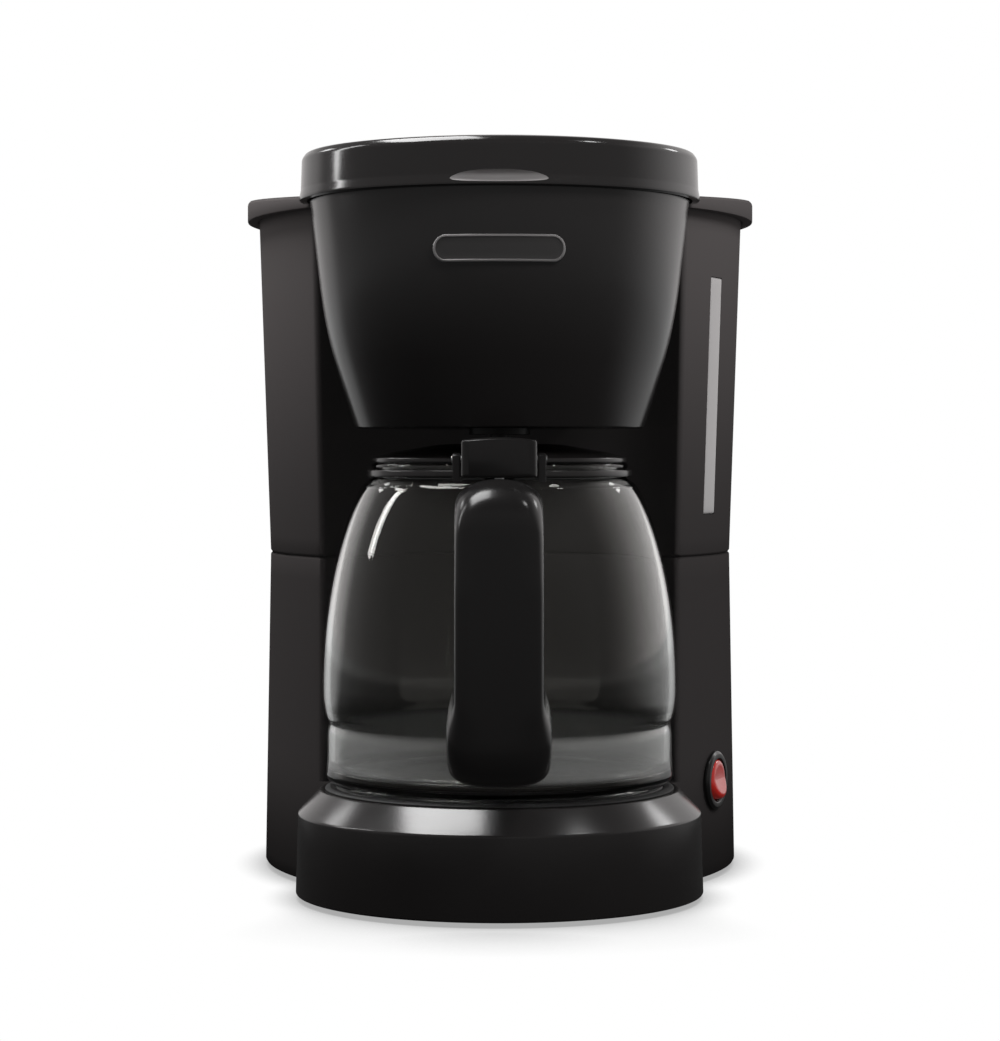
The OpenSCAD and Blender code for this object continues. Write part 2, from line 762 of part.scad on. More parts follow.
knee = [head_knee_r, head_floor_z + head_knee_h];
head_top = [head_top_r, head_top_z];
head_low = [head_low_r, head_floor_z];
above_knee = mix(knee, head_top, 0.35);
below_knee = mix(knee, head_low, 0.35);

// The brew head's outline from its rim down, moved in or out by g
function head_line(g) = [for (p = concat(
    [head_top], [for (t = [0 : 0.2 : 1]) bend(above_knee, knee, below_knee, t)], [head_low]))
    p + [g, 0]];

module head_solid(g) rotate_extrude() polygon(concat(
    [[0, head_top_z]], head_line(g), [[0, head_floor_z]]));

nozzle_r = 10;
head_hole_r = nozzle_r + 1.2;
spine_w = 48;
spine_top = head_top_z - 4;
head_screw_x = 13;
head_screw_z = spine_top - 8;

module brew_head() on_axis() color(black) difference() {
    union() {
        head_solid(0);
        head_spine();
    }
    intersection() {
        translate([0, 0, wall]) head_solid(-wall);
        translate([-reach / 2, -reach / 2, head_floor_z + wall]) cube(reach);
    }
    translate([0, 0, head_top_z - wall - 1]) cylinder(h = wall + 2, r = head_top_r - wall);
    translate([0, 0, head_floor_z - 1]) cylinder(h = wall + 2, r = head_hole_r);
    for (s = [-1, 1]) translate([s * head_screw_x, 50, head_screw_z]) rotate([-90, 0, 0])
        cylinder(h = 20, r = 1.6);
}

// A hollow spine that carries the brew head on the front wall of the tank
module head_spine() {
    h = spine_top - head_floor_z;
    difference() {
        intersection() {
            translate([-spine_w / 2, 30, head_floor_z]) cube([spine_w, reach, h]);
            recess_plug(head_floor_z - 1, spine_top + 1, -slip);
        }
        difference() {
            intersection() {
                translate([-spine_w / 2 + wall, 20, head_floor_z + wall])
                    cube([spine_w - 2 * wall, reach, h]);
                recess_plug(head_floor_z, spine_top + 1, -slip - wall - 2);
            }
            head_solid(-eps);
        }
    }
}

module head_screws() on_axis() color(steel) {
    wall_y = sqrt(pow(recess_at(head_screw_z) + wall, 2) - pow(head_screw_x - 3.2, 2));
    for (s = [-1, 1]) translate([s * head_screw_x, wall_y + seat, head_screw_z])
        rotate([90, 0, 0]) screw(6.6, 1.5, 3, 1.8);
}

// A blank plate in the place of a name, on the front of the brew head
module nameplate() on_axis() color("#6e6e70") {
    name_z = head_top_z - 19.7;
    slope = (head_top_r - above_knee.x) / (head_top_z - above_knee.y);
    r_low = head_top_r - slope * (head_top_z - name_z + plate_h);
    r_high = head_top_r - slope * (head_top_z - name_z - plate_h);
    intersection() {
        translate([0, 0, name_z - plate_h]) difference() {
            cylinder(h = 2 * plate_h, r1 = r_low + 0.9, r2 = r_high + 0.9);
            translate([0, 0, -eps])
                cylinder(h = 2 * plate_h + 2 * eps, r1 = r_low + 0.05, r2 = r_high + 0.05);
        }
        translate([0, 0, name_z]) rotate([90, 0, 0])
            round_plate(plate_w, plate_h, reach, plate_h / 2 - 0.05);
    }
}

// ---------------------------------------------------------------- filter basket and drip valve

basket_gap = 1;
basket_t = 1.8;
basket_floor_z = head_floor_z + wall + 1.5;
flange_t = 1.6;
nozzle_z = head_floor_z - 2;
seat_hole_r = 4;
seat_t = 1.5;
low_slope = (below_knee.x - head_low_r) / (below_knee.y - head_floor_z);
basket_low_r = head_low_r + low_slope * (basket_floor_z - head_floor_z) - wall - basket_gap;

// The basket's outline from its rim down, moved in or out by g
function basket_line(g, floor_z) = concat(
    [for (p = head_line(-wall - basket_gap + g)) if (p.y > floor_z + 1) p],
    [[basket_low_r + g, floor_z]]);

module filter_basket() on_axis() color(black) {
    difference() {
        union() {
            rotate_extrude() polygon(concat(
                [[0, head_top_z]], basket_line(0, basket_floor_z), [[0, basket_floor_z]]));
            translate([0, 0, head_top_z + 0.05]) cylinder(h = flange_t, r = head_top_r - 0.6);
            translate([0, 0, head_top_z - eps])
                cylinder(h = 0.1, r = head_top_r - wall - basket_gap);
            translate([0, 0, nozzle_z]) cylinder(h = basket_floor_z - nozzle_z + 1, r = nozzle_r);
        }
        rotate_extrude() polygon(concat(
            [[0, head_top_z + 5], [head_top_r - wall - basket_gap - basket_t, head_top_z + 5]],
            basket_line(-basket_t, basket_floor_z + basket_t),
            [[0, basket_floor_z + basket_t]]));
        translate([0, 0, nozzle_z + seat_t])
            cylinder(h = basket_floor_z, r = nozzle_r - 2.2);
        translate([0, 0, nozzle_z - 1]) cylinder(h = 4, r = seat_hole_r);
    }
    for (s = [-1, 1]) translate([s * (head_top_r - 3.8) - 1, -6, head_top_z + flange_t / 2])
        cube([2, 12, 5.2]);
    basket_ribs();
}

// Upright ribs that hold the paper filter off the wall
module basket_ribs() {
    intersection() {
        for (a = [15 : 30 : 345]) rotate([0, 0, a])
            translate([basket_low_r - 8, -0.6, basket_floor_z + basket_t / 2])
                cube([40, 1.2, head_top_z - basket_floor_z - 22]);
        difference() {
            rotate_extrude() polygon(concat([[0, head_top_z]],
                basket_line(-basket_t / 2, basket_floor_z), [[0, basket_floor_z]]));
            rotate_extrude() polygon(concat([[0, head_top_z + 1]],
                basket_line(-basket_t - 1, basket_floor_z - 1), [[0, basket_floor_z - 1]]));
        }
    }
}

seal_t = 0.8;
plunger_z = nozzle_z + seat_t + seal_t + 0.05;
plunger_t = 1.2;
stem_r = 3;
valve_travel = 3;
spring_top_z = basket_floor_z + basket_t + 4;

module valve_plunger() on_axis() color(white_plastic) {
    translate([0, 0, plunger_z]) cylinder(h = plunger_t, r = nozzle_r - 3);
    translate([0, 0, carafe_lid_z + 0.8]) cylinder(h = plunger_z - carafe_lid_z, r = stem_r);
    translate([0, 0, plunger_z]) cylinder(h = plunger_t + 2.5, r = 2);
}

module valve_seal() on_axis() color(silicone)
    translate([0, 0, plunger_z - seal_t]) tube(seal_t - 0.02, nozzle_r - 3, stem_r + spin);

// A bridge over the nozzle that the spring pushes against
module valve_retainer() on_axis() color(black) {
    post = nozzle_r - 1.1;
    floor_z = basket_floor_z + basket_t;
    translate([0, 0, spring_top_z]) cylinder(h = 1.2, r = 7);
    for (a = [0, 120, 240]) rotate([0, 0, a]) {
        translate([0, -1.5, spring_top_z]) cube([post + 1, 3, 1.2]);
        translate([post - 1.3, -1.5, floor_z + 0.05]) cube([2.3, 3, spring_top_z - floor_z]);
    }
}

// Points of a ring of the spring's wire at share t of its length
spring_r = 4.6;
spring_wire_r = 0.35;
spring_turns = 4;
spring_steps = 14;
spring_low_z = plunger_z + plunger_t + spring_wire_r + 0.05;
spring_high_z = spring_top_z - spring_wire_r - 0.05;
function spring_ring(t, sides) = [for (i = [0 : sides - 1])
    let (a = 360 * spring_turns * t, b = 360 * i / sides,
         r = spring_r + spring_wire_r * cos(b))
    [r * cos(a), r * sin(a), mix(spring_low_z, spring_high_z, t) + spring_wire_r * sin(b)]];

module valve_spring() on_axis() color(steel) {
    n = spring_turns * spring_steps;
    k = 8;
    polyhedron(
        points = [for (i = [0 : n]) each spring_ring(i / n, k)],
        faces = concat(
            [[for (j = [0 : k - 1]) j]],
            [for (i = [0 : n - 1], j = [0 : k - 1])
                [i * k + j, (i + 1) * k + j, (i + 1) * k + (j + 1) % k, i * k + (j + 1) % k]],
            [[for (j = [k - 1 : -1 : 0]) n * k + j]]));
}

// ---------------------------------------------------------------- lid

lid_cut_y = 7.5;
tongue_y = hinge_y - hinge_r - 3;
tongue_r = 10;

lid_rim_r = lid_r - 3.4;
scoop_in = 1.5;

// The lid's outline, moved in by g: a lip, an upright rim, a rounded edge and a dome
function lid_line(g) = concat(
    [[lid_r - g, lid_z - g], [lid_r - g, lid_z + 1.4], [lid_r - 0.5 - g, lid_z + 1.9],
     [lid_r - 0.9 - g, lid_edge_z - 3.2 - g], [lid_r - 1.7 - g, lid_edge_z - 1.2 - g]],
    [for (i = [0 : 10]) let (t = 1 - i / 10)
        [(lid_rim_r - g) * t, lid_edge_z - 0.6 - g + lid_dome * (1 - pow(t, 3))]]);

module lid_form(g, low_z) {
    rotate_extrude() polygon(concat([[0, lid_z - g]], lid_line(g)));
    translate([0, (tongue_y - g) / 2, low_z])
        round_plate(2 * (tongue_half_w - g), tongue_y - g, lid_edge_z - g - low_z,
                    tongue_r - g);
}

module lid_shell() on_axis() color(black) {
    over_deck = deck_z + slip + 0.1;
    difference() {
        union() {
            lid_form(0, over_deck);
            for (s = [-1, 1]) lid_knuckle(s);
        }
        lid_form(lid_t, over_deck - 1);
        difference() {
            translate([-reach / 2, lid_cut_y, lid_z - 2])
                cube([reach, reach, over_deck - lid_z + 2]);
            above_slope(deck_z - over_deck);
            translate([-reach / 2, hinge_y, hinge_z]) rotate([0, 90, 0])
                cylinder(h = reach, r = hinge_r);
        }
        translate([-reach / 2, hinge_y, hinge_z]) rotate([0, 90, 0])
            cylinder(h = reach, r = hinge_pin_r + 2 * spin);
        finger_scoop();
    }
}

module lid_knuckle(s) {
    x = s > 0 ? knuckle_x[0] : -knuckle_x[1];
    w = knuckle_x[1] - knuckle_x[0];
    translate([x, hinge_y, hinge_z]) rotate([0, 90, 0]) cylinder(h = w, r = hinge_r - slip);
    translate([x, tongue_y - 1, hinge_z - 1])
        cube([w, hinge_y - tongue_y + 1, hinge_r - slip + 1]);
}

// A shallow crescent above the lip in the front of the rim, to lift the lid by
module finger_scoop() {
    scoop_r = 3;
    intersection() {
        translate([0, -(lid_r - 1.2 - scoop_in + scoop_r), lid_z + 2.2]) rotate([0, 90, 0])
            cylinder(h = reach, r = scoop_r, center = true);
        translate([-reach / 2, -reach, lid_z + 0.9]) cube(reach);
    }
}

// The liner's outline, moved in by g, as a slab from z0 to z1
module liner_slab(g, z0, z1) {
    translate([0, 0, z0]) {
        cylinder(h = z1 - z0, r = lid_rim_r - lid_t - 1.5 - g);
        translate([0, (tongue_y - lid_t) / 2 - slip, 0])
            round_plate(2 * (tongue_half_w - lid_t - slip - g), tongue_y - lid_t - slip - 2 * g,
                        z1 - z0, tongue_r - lid_t - g);
    }
}

// A slot from the spout to the middle of the basket, of half width r
module channel_slot(r, z0, z1) {
    run = sqrt(pow(heater_r, 2) + pow(hose_y, 2));
    for (p = [[heater_r, hose_y, z0], [0, 0, z0]]) translate(p) cylinder(h = z1 - z0, r = r);
    translate([0, 0, z0]) rotate([0, 0, atan2(hose_y, heater_r)]) translate([0, -r, 0])
        cube([run, 2 * r, z1 - z0]);
}

// Inner cover of the lid, with the channel that leads the water from the spout to the shower
module lid_liner() on_axis() color(black) difference() {
    top = liner_z + liner_t;
    union() {
        liner_slab(0, liner_z, liner_z + 1.6);
        difference() {
            liner_slab(0, liner_z, top);
            liner_slab(1.6, liner_z - 1, top + 1);
        }
        channel_slot(8.6, liner_z, top);
    }
    channel_slot(7, liner_z + 1.6, top + 1);
    translate([heater_r, hose_y, liner_z - 1]) cylinder(h = 4, r = spout_r + 0.6);
    translate([0, 0, liner_z - 1]) cylinder(h = 4, r = 5);
}

module shower_disc() on_axis() color(black) difference() {
    translate([0, 0, liner_z - 4.2]) cylinder(h = 4.1, r = 24);
    translate([0, 0, liner_z - 2.8]) cylinder(h = 4, r = 22.4);
    for (ring = [[1, 0], [6, 9], [12, 17.5]], i = [0 : ring[0] - 1])
        rotate([0, 0, 360 * i / ring[0]]) translate([ring[1], 0, liner_z - 6])
            cylinder(h = 6, r = 1.1, $fn = 16);
}

// ---------------------------------------------------------------- switch

rocker_r = housing_r - 1.9;
rocker_a = 9;
pivot_in = 1.8;
pivot_r = 1.1;

// Moves its children to the switch: +Z points out of the side, +X down and +Y along the side
module on_switch() {
    on_side(switch_a, switch_z, switch_grow) rotate([0, 90, 0]) children();
}

module switch_housing() on_axis() color(black) on_switch() difference() {
    rotate_extrude() polygon([[0, -housing_d], [housing_r, -housing_d], [housing_r, 0],
                              [bezel_r, 0], [bezel_r, 0.9], [bezel_r - 0.9, 1.7], [0, 1.7]]);
    translate([0, 0, -pivot_in - rocker_r - 0.6]) cylinder(h = reach, r = rocker_r + 0.4);
    translate([0, 0, -pivot_in]) rotate([90, 0, 0])
        cylinder(h = 2 * housing_r - 1.4, r = pivot_r + spin, center = true);
}

// Two flat faces meet in a shallow V, so that one end stands proud and the other is pushed in
module switch_rocker() on_axis() color("#b3221c") on_switch() translate([0, 0, -pivot_in])
    rotate([0, -rocker_a, 0]) {
        difference() {
            intersection() {
                sphere(rocker_r);
                translate([-reach / 2, -reach / 2, -2.5]) cube([reach, reach, 2.5 + 4.6]);
            }
            for (s = [-1, 1]) rotate([0, s * rocker_a, 0])
                translate([s > 0 ? -reach : 0, -reach / 2, 2.6]) cube([reach, reach, 20]);
        }
        rotate([90, 0, 0]) cylinder(h = 2 * (rocker_r + 0.9), r = pivot_r, center = true);
    }

module switch_lamp() on_axis() color("#e08a50") on_switch()
    translate([0, 0, -housing_d - 2.05]) cylinder(h = 2, r = 2.4);

module switch_terminals() on_axis() color("#c9a24a") on_switch()
    for (y = [-5.5, 5.5]) translate([-3, y - 0.4, -housing_d - blade - 0.05])
        cube([6, 0.8, blade]);

// ---------------------------------------------------------------- wiring and cord entry

clamp_y = back_y - 24;
clamp_top = foot_h + bottom_t + 7;
wire_r = 1.1;
blade = 6;

// Middle of a switch terminal's end, in the carafe's frame
function terminal_at(y) =
    let (n = side_r + switch_grow - housing_d - blade - 0.05 - wire_r - seat,
         a = switch_a)
    [-side_c + n * cos(a) - y * sin(a), widest_y + n * sin(a) + y * cos(a), switch_z];

module wiring() on_axis() {
    pin_x = heater_r - element_in;
    pin_y = heater_leg - 14 + pin_len + wire_r + seat;
    low = foot_h + bottom_t + 4;
    color("#a8322a") wire([
        [pin_x, pin_y, heater_z], [pin_x, pin_y, low], [pin_x + 6, 58, low],
        [terminal_at(-5.5).x - 12, 58, low],
        [terminal_at(-5.5).x, terminal_at(-5.5).y, low], terminal_at(-5.5)], wire_r);
    color("#dcdcd6") wire([
        terminal_at(5.5), [terminal_at(5.5).x, terminal_at(5.5).y, low + 5],
        [40, 84, low + 5], [0, 94, low], [cord_x + 3, 96, low + 1.5], [cord_x + 3, clamp_y - 8.2, cord_z]],
        wire_r);
    color("#2c4c8c") wire([
        [-pin_x, pin_y, heater_z], [-pin_x, pin_y, low], [-pin_x - 4, 92, low],
        [cord_x - 3, 92, low + 6], [cord_x - 3, clamp_y - 8.2, cord_z]], wire_r);
}

module cord_grommet() on_axis() color(rubber) {
    face = back_y + lower_grow(cord_z);
    translate([cord_x, face, cord_z]) rotate([-90, 0, 0]) rotate_extrude() polygon([
        [cord_hole_r, -wall - 1.8], [cord_hole_out_r + 1.4, -wall - 1.8],
        [cord_hole_out_r + 1.4, -wall - 0.25], [cord_hole_out_r - spin, -wall - 0.25],
        [cord_hole_out_r - spin, 0.25], [cord_hole_out_r + 2, 0.25],
        [cord_hole_out_r + 2, 1.6], [cord_hole_out_r + 1, 2.6], [cord_hole_r, 2.6]]);
}

// Two-part clamp on a post of the bottom plate, which holds the cord inside the base
module cord_clamp() on_axis() color(white_plastic) translate([cord_x, clamp_y, 0])
    difference() {
        translate([-11, -7, foot_h + bottom_t + 0.05])
            cube([22, 14, cord_z + cord_hole_r + 2 - foot_h - bottom_t]);
        translate([0, 10, cord_z]) rotate([90, 0, 0]) cylinder(h = 20, r = cord_hole_r);
        for (s = [-1, 1]) translate([s * 7.6, 0, cord_z - 8]) cylinder(h = 20, r = 1.4);
    }

module cord_clamp_screws() on_axis() color(steel)
    for (s = [-1, 1])
        translate([cord_x + s * 7.6, clamp_y, cord_z + cord_hole_r + 2.1]) mirror([0, 0, 1])
            screw(9, 1.3, 2.4, 1.3);

// ---------------------------------------------------------------- carafe

groove_z = carafe_z + carafe_band_h;
band_r = carafe_r - 1.6;
bulge_z = groove_z + 11;
shoulder_z = rim_z - 6;
shoulder_r = neck_r + 2.6;
curve_q = 0.77;
curve_steps = 18;

// Outline of the glass from its foot up, moved in by g
function glass_line(g) = concat(
    [for (a = [-90 : 30 : 0]) [band_r - 3.4 - g + 4 * cos(a), carafe_z + 4 + 4 * sin(a)]],
    [[band_r - g, carafe_z + 8], [band_r - g, groove_z - 1.5], [band_r - 0.5 - g, groove_z],
     [band_r + 0.6 - g, groove_z + 2.6]],
    [for (i = [0 : 3]) [carafe_r - g - 0.55 * pow((3 - i) / 3, 2),
                        mix(groove_z + 5, bulge_z, i / 3)]],
    [for (i = [1 : curve_steps]) let (t = i / (curve_steps + 0.4))
        [shoulder_r - g + (carafe_r - shoulder_r) * pow(1 - t * t, curve_q),
         mix(bulge_z, shoulder_z, t)]],
    [[neck_r + 0.8 - g, shoulder_z + 0.7], [neck_r - g, shoulder_z + 1.4]]);

module glass_solid(g) rotate_extrude() polygon(concat(
    [[0, carafe_z]], glass_line(-g), [[neck_r + g, rim_z + 1], [0, rim_z + 1]]));

module carafe_glass() on_axis() color(clear) rotate_extrude() polygon(concat(
    [[0, carafe_z + 1.2], [band_r - 12, carafe_z + 1.2], [band_r - 9, carafe_z]],
    glass_line(0),
    [[neck_r, rim_z - 2], [neck_r + 0.9, rim_z - 1.6], [neck_r + 0.9, rim_z - 0.6],
     [neck_r + 0.2, rim_z], [neck_r - glass_t, rim_z]],
    [for (p = reversed(glass_line(glass_t))) if (p.y > carafe_z + 6) p],
    [[band_r - glass_t - 2, carafe_z + 4], [0, carafe_z + 4]]));

clamp_z = [shoulder_z + 1.5, rim_z - 2.1];
lug_len = 10;

module carafe_band() on_axis() color(black) {
    difference() {
        union() {
            translate([0, 0, clamp_z[0]]) cylinder(h = clamp_z[1] - clamp_z[0], r = neck_r + 2.2);
            translate([-6, -neck_r - lug_len, clamp_z[0]])
                cube([12, lug_len, clamp_z[1] - clamp_z[0]]);
        }
        translate([0, 0, clamp_z[0] - 1]) cylinder(h = 10, r = neck_r + seat);
        translate([0, -neck_r - 6.5, clamp_z[0] - 1]) cylinder(h = 10, r = 1.6);
    }
}

grip_top = rim_z - 4.7;
grip_low = carafe_z + 8;
arm_t = 15.5;
grip_in = grip_reach - grip_t;
hinge_out = neck_r + 12.5;
thumb_z = rim_z + 1.4;
ear_t = 2.6;

// Extrudes a side view, drawn as [distance in front of the carafe's axis, height], across X
module side_view(w) {
    mirror([0, 1, 0]) rotate([90, 0, 90]) linear_extrude(w, center = true) children();
}

// A rectangle with its two outer corners rounded
module grip_outline(x0, x1, z0, z1, r_low, r_high) {
    union() {
        translate([x0, z0]) square([x1 - x0 - max(r_low, r_high), z1 - z0]);
        translate([x0, z0 + r_low]) square([x1 - x0, z1 - z0 - r_low - r_high]);
        translate([x0, z0]) square([x1 - x0 - r_low, 2 * r_low]);
        translate([x0, z1 - 2 * r_high]) square([x1 - x0 - r_high, 2 * r_high]);
        translate([x1 - r_low, z0 + r_low]) circle(r_low);
        translate([x1 - r_high, z1 - r_high]) circle(r_high);
    }
}

module carafe_handle() on_axis() color(black) difference() {
    union() {
        intersection() {
            side_view(2 * grip_foot_w) difference() {
                grip_outline(30, grip_reach, grip_low, grip_top, 12, 14);
                grip_outline(20, grip_in, grip_low + grip_foot_h, grip_top - arm_t, 8, 12);
            }
            rotate([90, 0, 0]) linear_extrude(2 * grip_reach) union() {
                translate([-grip_w / 2, grip_low + 8]) square([grip_w, grip_top - grip_low]);
                translate([0, grip_low + 12]) circle(12);
                for (s = [-1, 1]) translate([s * (grip_foot_w / 2 - 10), grip_low + 10])
                    circle(10);
                translate([-grip_foot_w / 2 + 10, grip_low])
                    square([grip_foot_w - 20, 10]);
                translate([-grip_foot_w / 2, grip_low + 10]) square([grip_foot_w, 6]);
            }
        }
        for (s = [-1, 1]) handle_ear(s);
    }
    glass_solid(0.35);
    translate([0, 0, clamp_z[0] - slip]) cylinder(h = 20, r = neck_r + 2.2 + slip);
    translate([-6 - slip, -neck_r - lug_len - slip, clamp_z[0] - slip])
        cube([12 + 2 * slip, lug_len, 20]);
    translate([0, -neck_r - 6.5, grip_top - 14]) cylinder(h = 20, r = 1.5 + seat);
    translate([0, -hinge_out, thumb_z]) rotate([0, 90, 0])
        cylinder(h = reach, r = 1.2 + spin, center = true);
}

// An ear on the handle's arm, beside the lid's thumb block
module handle_ear(s) {
    x = s > 0 ? thumb_w / 2 + slip : -thumb_w / 2 - slip - ear_t;
    translate([x, -hinge_out, thumb_z]) rotate([0, 90, 0]) cylinder(h = ear_t, r = 2);
    translate([x, -hinge_out - 2, grip_top - 1]) cube([ear_t, 4, thumb_z - grip_top + 1]);
}

module handle_screw() on_axis() color(steel)
    translate([0, -neck_r - 6.5, clamp_z[1] + seat / 2]) mirror([0, 0, 1])
        screw(5.6, 1.5, 2.8, 1.4);

module carafe_lid() on_axis() color(black) difference() {
    union() {
        rotate_extrude() polygon([
            [drip_hole_r, carafe_lid_z - 4.6], [neck_r - 12, rim_z + 1.2],
            [neck_r - glass_t - 2.4, rim_z + 0.2], [neck_r - glass_t - 2.4, rim_z - 4],
            [neck_r - glass_t - 0.4, rim_z - 4], [neck_r - glass_t - 0.4, rim_z + slip],
            [neck_r + 0.6, rim_z + slip], [neck_r + 0.6, rim_z + 1.8],
            [neck_r - 6, rim_z + 3.6], [neck_r - 20, carafe_lid_z - 0.4],
            [drip_hole_r + 8, carafe_lid_z], [drip_hole_r + 2, carafe_lid_z - 0.6],
            [drip_hole_r, carafe_lid_z - 1.6]]);
        translate([0, 0, carafe_lid_z - 4.4]) cylinder(h = 4.4, r = stem_r + 0.8);
        for (a = [30, 150, 270]) rotate([0, 0, a]) translate([0, -0.9, carafe_lid_z - 4.4])
            cube([drip_hole_r + 0.6, 1.8, 2.6]);
        thumb_block();
    }
    translate([0, -hinge_out, thumb_z]) rotate([0, 90, 0])
        cylinder(h = reach, r = 1.2 + spin, center = true);
}

// The block that the thumb presses, over the top of the handle
module thumb_block() {
    low = rim_z - 0.4;
    crown_r = 3.4 * thumb_w;
    difference() {
        union() {
            translate([-thumb_w / 2, -hinge_out - 8, low])
                cube([thumb_w, 22, carafe_lid_z + 2 - low]);
            translate([-thumb_w / 2, -hinge_out - 8, grip_top + 0.4])
                cube([thumb_w, 9.6, low - grip_top]);
        }
        translate([0, -hinge_out + 2, carafe_lid_z + 2 - crown_r]) difference() {
            translate([-reach / 2, -40, crown_r - 4]) cube([reach, 80, 10]);
            rotate([90, 0, 0]) cylinder(h = reach, r = crown_r, center = true);
        }
        translate([0, 0, low - 1]) cylinder(h = rim_z + slip - low + 1, r = neck_r + 2.4);
        translate([0, 0, rim_z]) cylinder(h = 20, r = neck_r - 6);
    }
}

module carafe_lid_pin() on_axis() color(steel)
    translate([0, -hinge_out, thumb_z]) rotate([0, 90, 0])
        cylinder(h = thumb_w + 2 * ear_t + 2 * slip + 0.6, r = 1.2, center = true);

// ---------------------------------------------------------------- the nodes

base_shell();
bottom_plate();
bottom_screws();
rubber_feet();
warming_plate();
plate_gasket();
heater_body();
heater_element();
heater_clamp();
heater_clamp_screw();
thermostat();
thermal_fuses();
cold_hose();
hot_hose();
hose_clips();
check_valve();
check_ball();
tank_shell();
level_window();
tank_strainer();
rear_screws();
top_deck();
brew_head();
head_screws();
riser_tube();
riser_grommet();
spout_nozzle();
spout_seal();
nameplate();
filter_basket();
valve_retainer();
valve_spring();
valve_plunger();
valve_seal();
lid_shell();
lid_liner();
shower_disc();
lid_hinge_pin();
switch_housing();
switch_rocker();
switch_lamp();
switch_terminals();
wiring();
cord_grommet();
cord_clamp();
cord_clamp_screws();
carafe_glass();
carafe_band();
carafe_handle();
handle_screw();
carafe_lid();
carafe_lid_pin();
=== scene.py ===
"""Looks of the drip coffee maker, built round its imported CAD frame."""
import json
import math
from contextlib import contextmanager

import bmesh
import bpy
import numpy as np
from mathutils import Matrix, Vector


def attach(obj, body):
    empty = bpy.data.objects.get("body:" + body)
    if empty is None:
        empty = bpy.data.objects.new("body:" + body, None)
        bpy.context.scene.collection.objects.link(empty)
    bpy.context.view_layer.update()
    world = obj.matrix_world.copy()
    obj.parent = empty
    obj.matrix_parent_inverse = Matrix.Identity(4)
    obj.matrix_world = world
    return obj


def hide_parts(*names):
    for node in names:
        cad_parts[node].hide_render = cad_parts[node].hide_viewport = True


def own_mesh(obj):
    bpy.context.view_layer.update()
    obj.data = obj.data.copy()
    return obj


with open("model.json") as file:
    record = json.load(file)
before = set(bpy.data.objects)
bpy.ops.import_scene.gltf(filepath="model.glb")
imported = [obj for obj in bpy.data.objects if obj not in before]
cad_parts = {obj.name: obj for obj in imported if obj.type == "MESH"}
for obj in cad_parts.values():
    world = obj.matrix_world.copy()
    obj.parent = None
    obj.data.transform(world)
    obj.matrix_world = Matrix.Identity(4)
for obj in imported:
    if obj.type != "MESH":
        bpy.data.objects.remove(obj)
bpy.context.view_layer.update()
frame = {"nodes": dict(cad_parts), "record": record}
nodes = frame["nodes"]
scene = bpy.context.scene

MM = 0.001
AXIS_Y = -26.0

# Heights and radii about the carafe's axis, in millimetres
FOOT_Z, BEVEL_Z, BASE_Z, SPLIT_Z = 1.6, 28.3, 36.0, 111.5
TANK_TOP, COLLAR_Z, DECK_Z = 232.4, 228.0, 235.0
PLATE_Z, GLASS_Z, RIM_Z, CARAFE_LID_Z = 37.5, 37.7, 143.2, 149.5
HEAD_Z, HEAD_TOP = 154.6, 229.6
LID_Z, LID_EDGE = 229.0, 245.0
WALL = 2.4
# The deck falls away to the front of this line
SLOPE_Y, SLOPE = 64.0, 0.055


# ------------------------------------------------------------------ materials

def feed(node, key, value):
    """Gives a node's input a constant or another node's output."""
    if isinstance(value, bpy.types.NodeSocket):
        node.id_data.links.new(value, node.inputs[key])
    else:
        node.inputs[key].default_value = value


def add(nt, kind, values=None, **settings):
    """A shader node with its settings and its inputs, each a constant or another node's output."""
    node = nt.nodes.new("ShaderNode" + kind)
    for key, value in settings.items():
        setattr(node, key, value)
    for key, value in (values or {}).items():
        feed(node, key, value)
    return node


def ramp(nt, value, lo, hi, out_lo, out_hi, smooth=True):
    return add(nt, "MapRange", {"Value": value, "From Min": lo, "From Max": hi, "To Min": out_lo,
                                "To Max": out_hi},
               interpolation_type="SMOOTHSTEP" if smooth else "LINEAR").outputs["Result"]


def calc(nt, op, a, b):
    return add(nt, "Math", {0: a, 1: b}, operation=op).outputs[0]


def xyz(nt, vector):
    return add(nt, "SeparateXYZ", {0: vector}).outputs


def noise(nt, place, scale, detail):
    return add(nt, "TexNoise", {"Vector": place, "Scale": scale, "Detail": detail}).outputs["Fac"]


def bumped(nt, height, strength, distance, normal=None):
    b = add(nt, "Bump", {"Height": height, "Strength": strength, "Distance": distance})
    if normal:
        feed(b, "Normal", normal)
    return b.outputs["Normal"]


def material(name, values):
    """A material, its node tree and its Principled node."""
    m = bpy.data.materials.new(name)
    m.use_nodes = True
    b = m.node_tree.nodes["Principled BSDF"]
    for key, value in values.items():
        feed(b, key, value)
    return m, m.node_tree, b


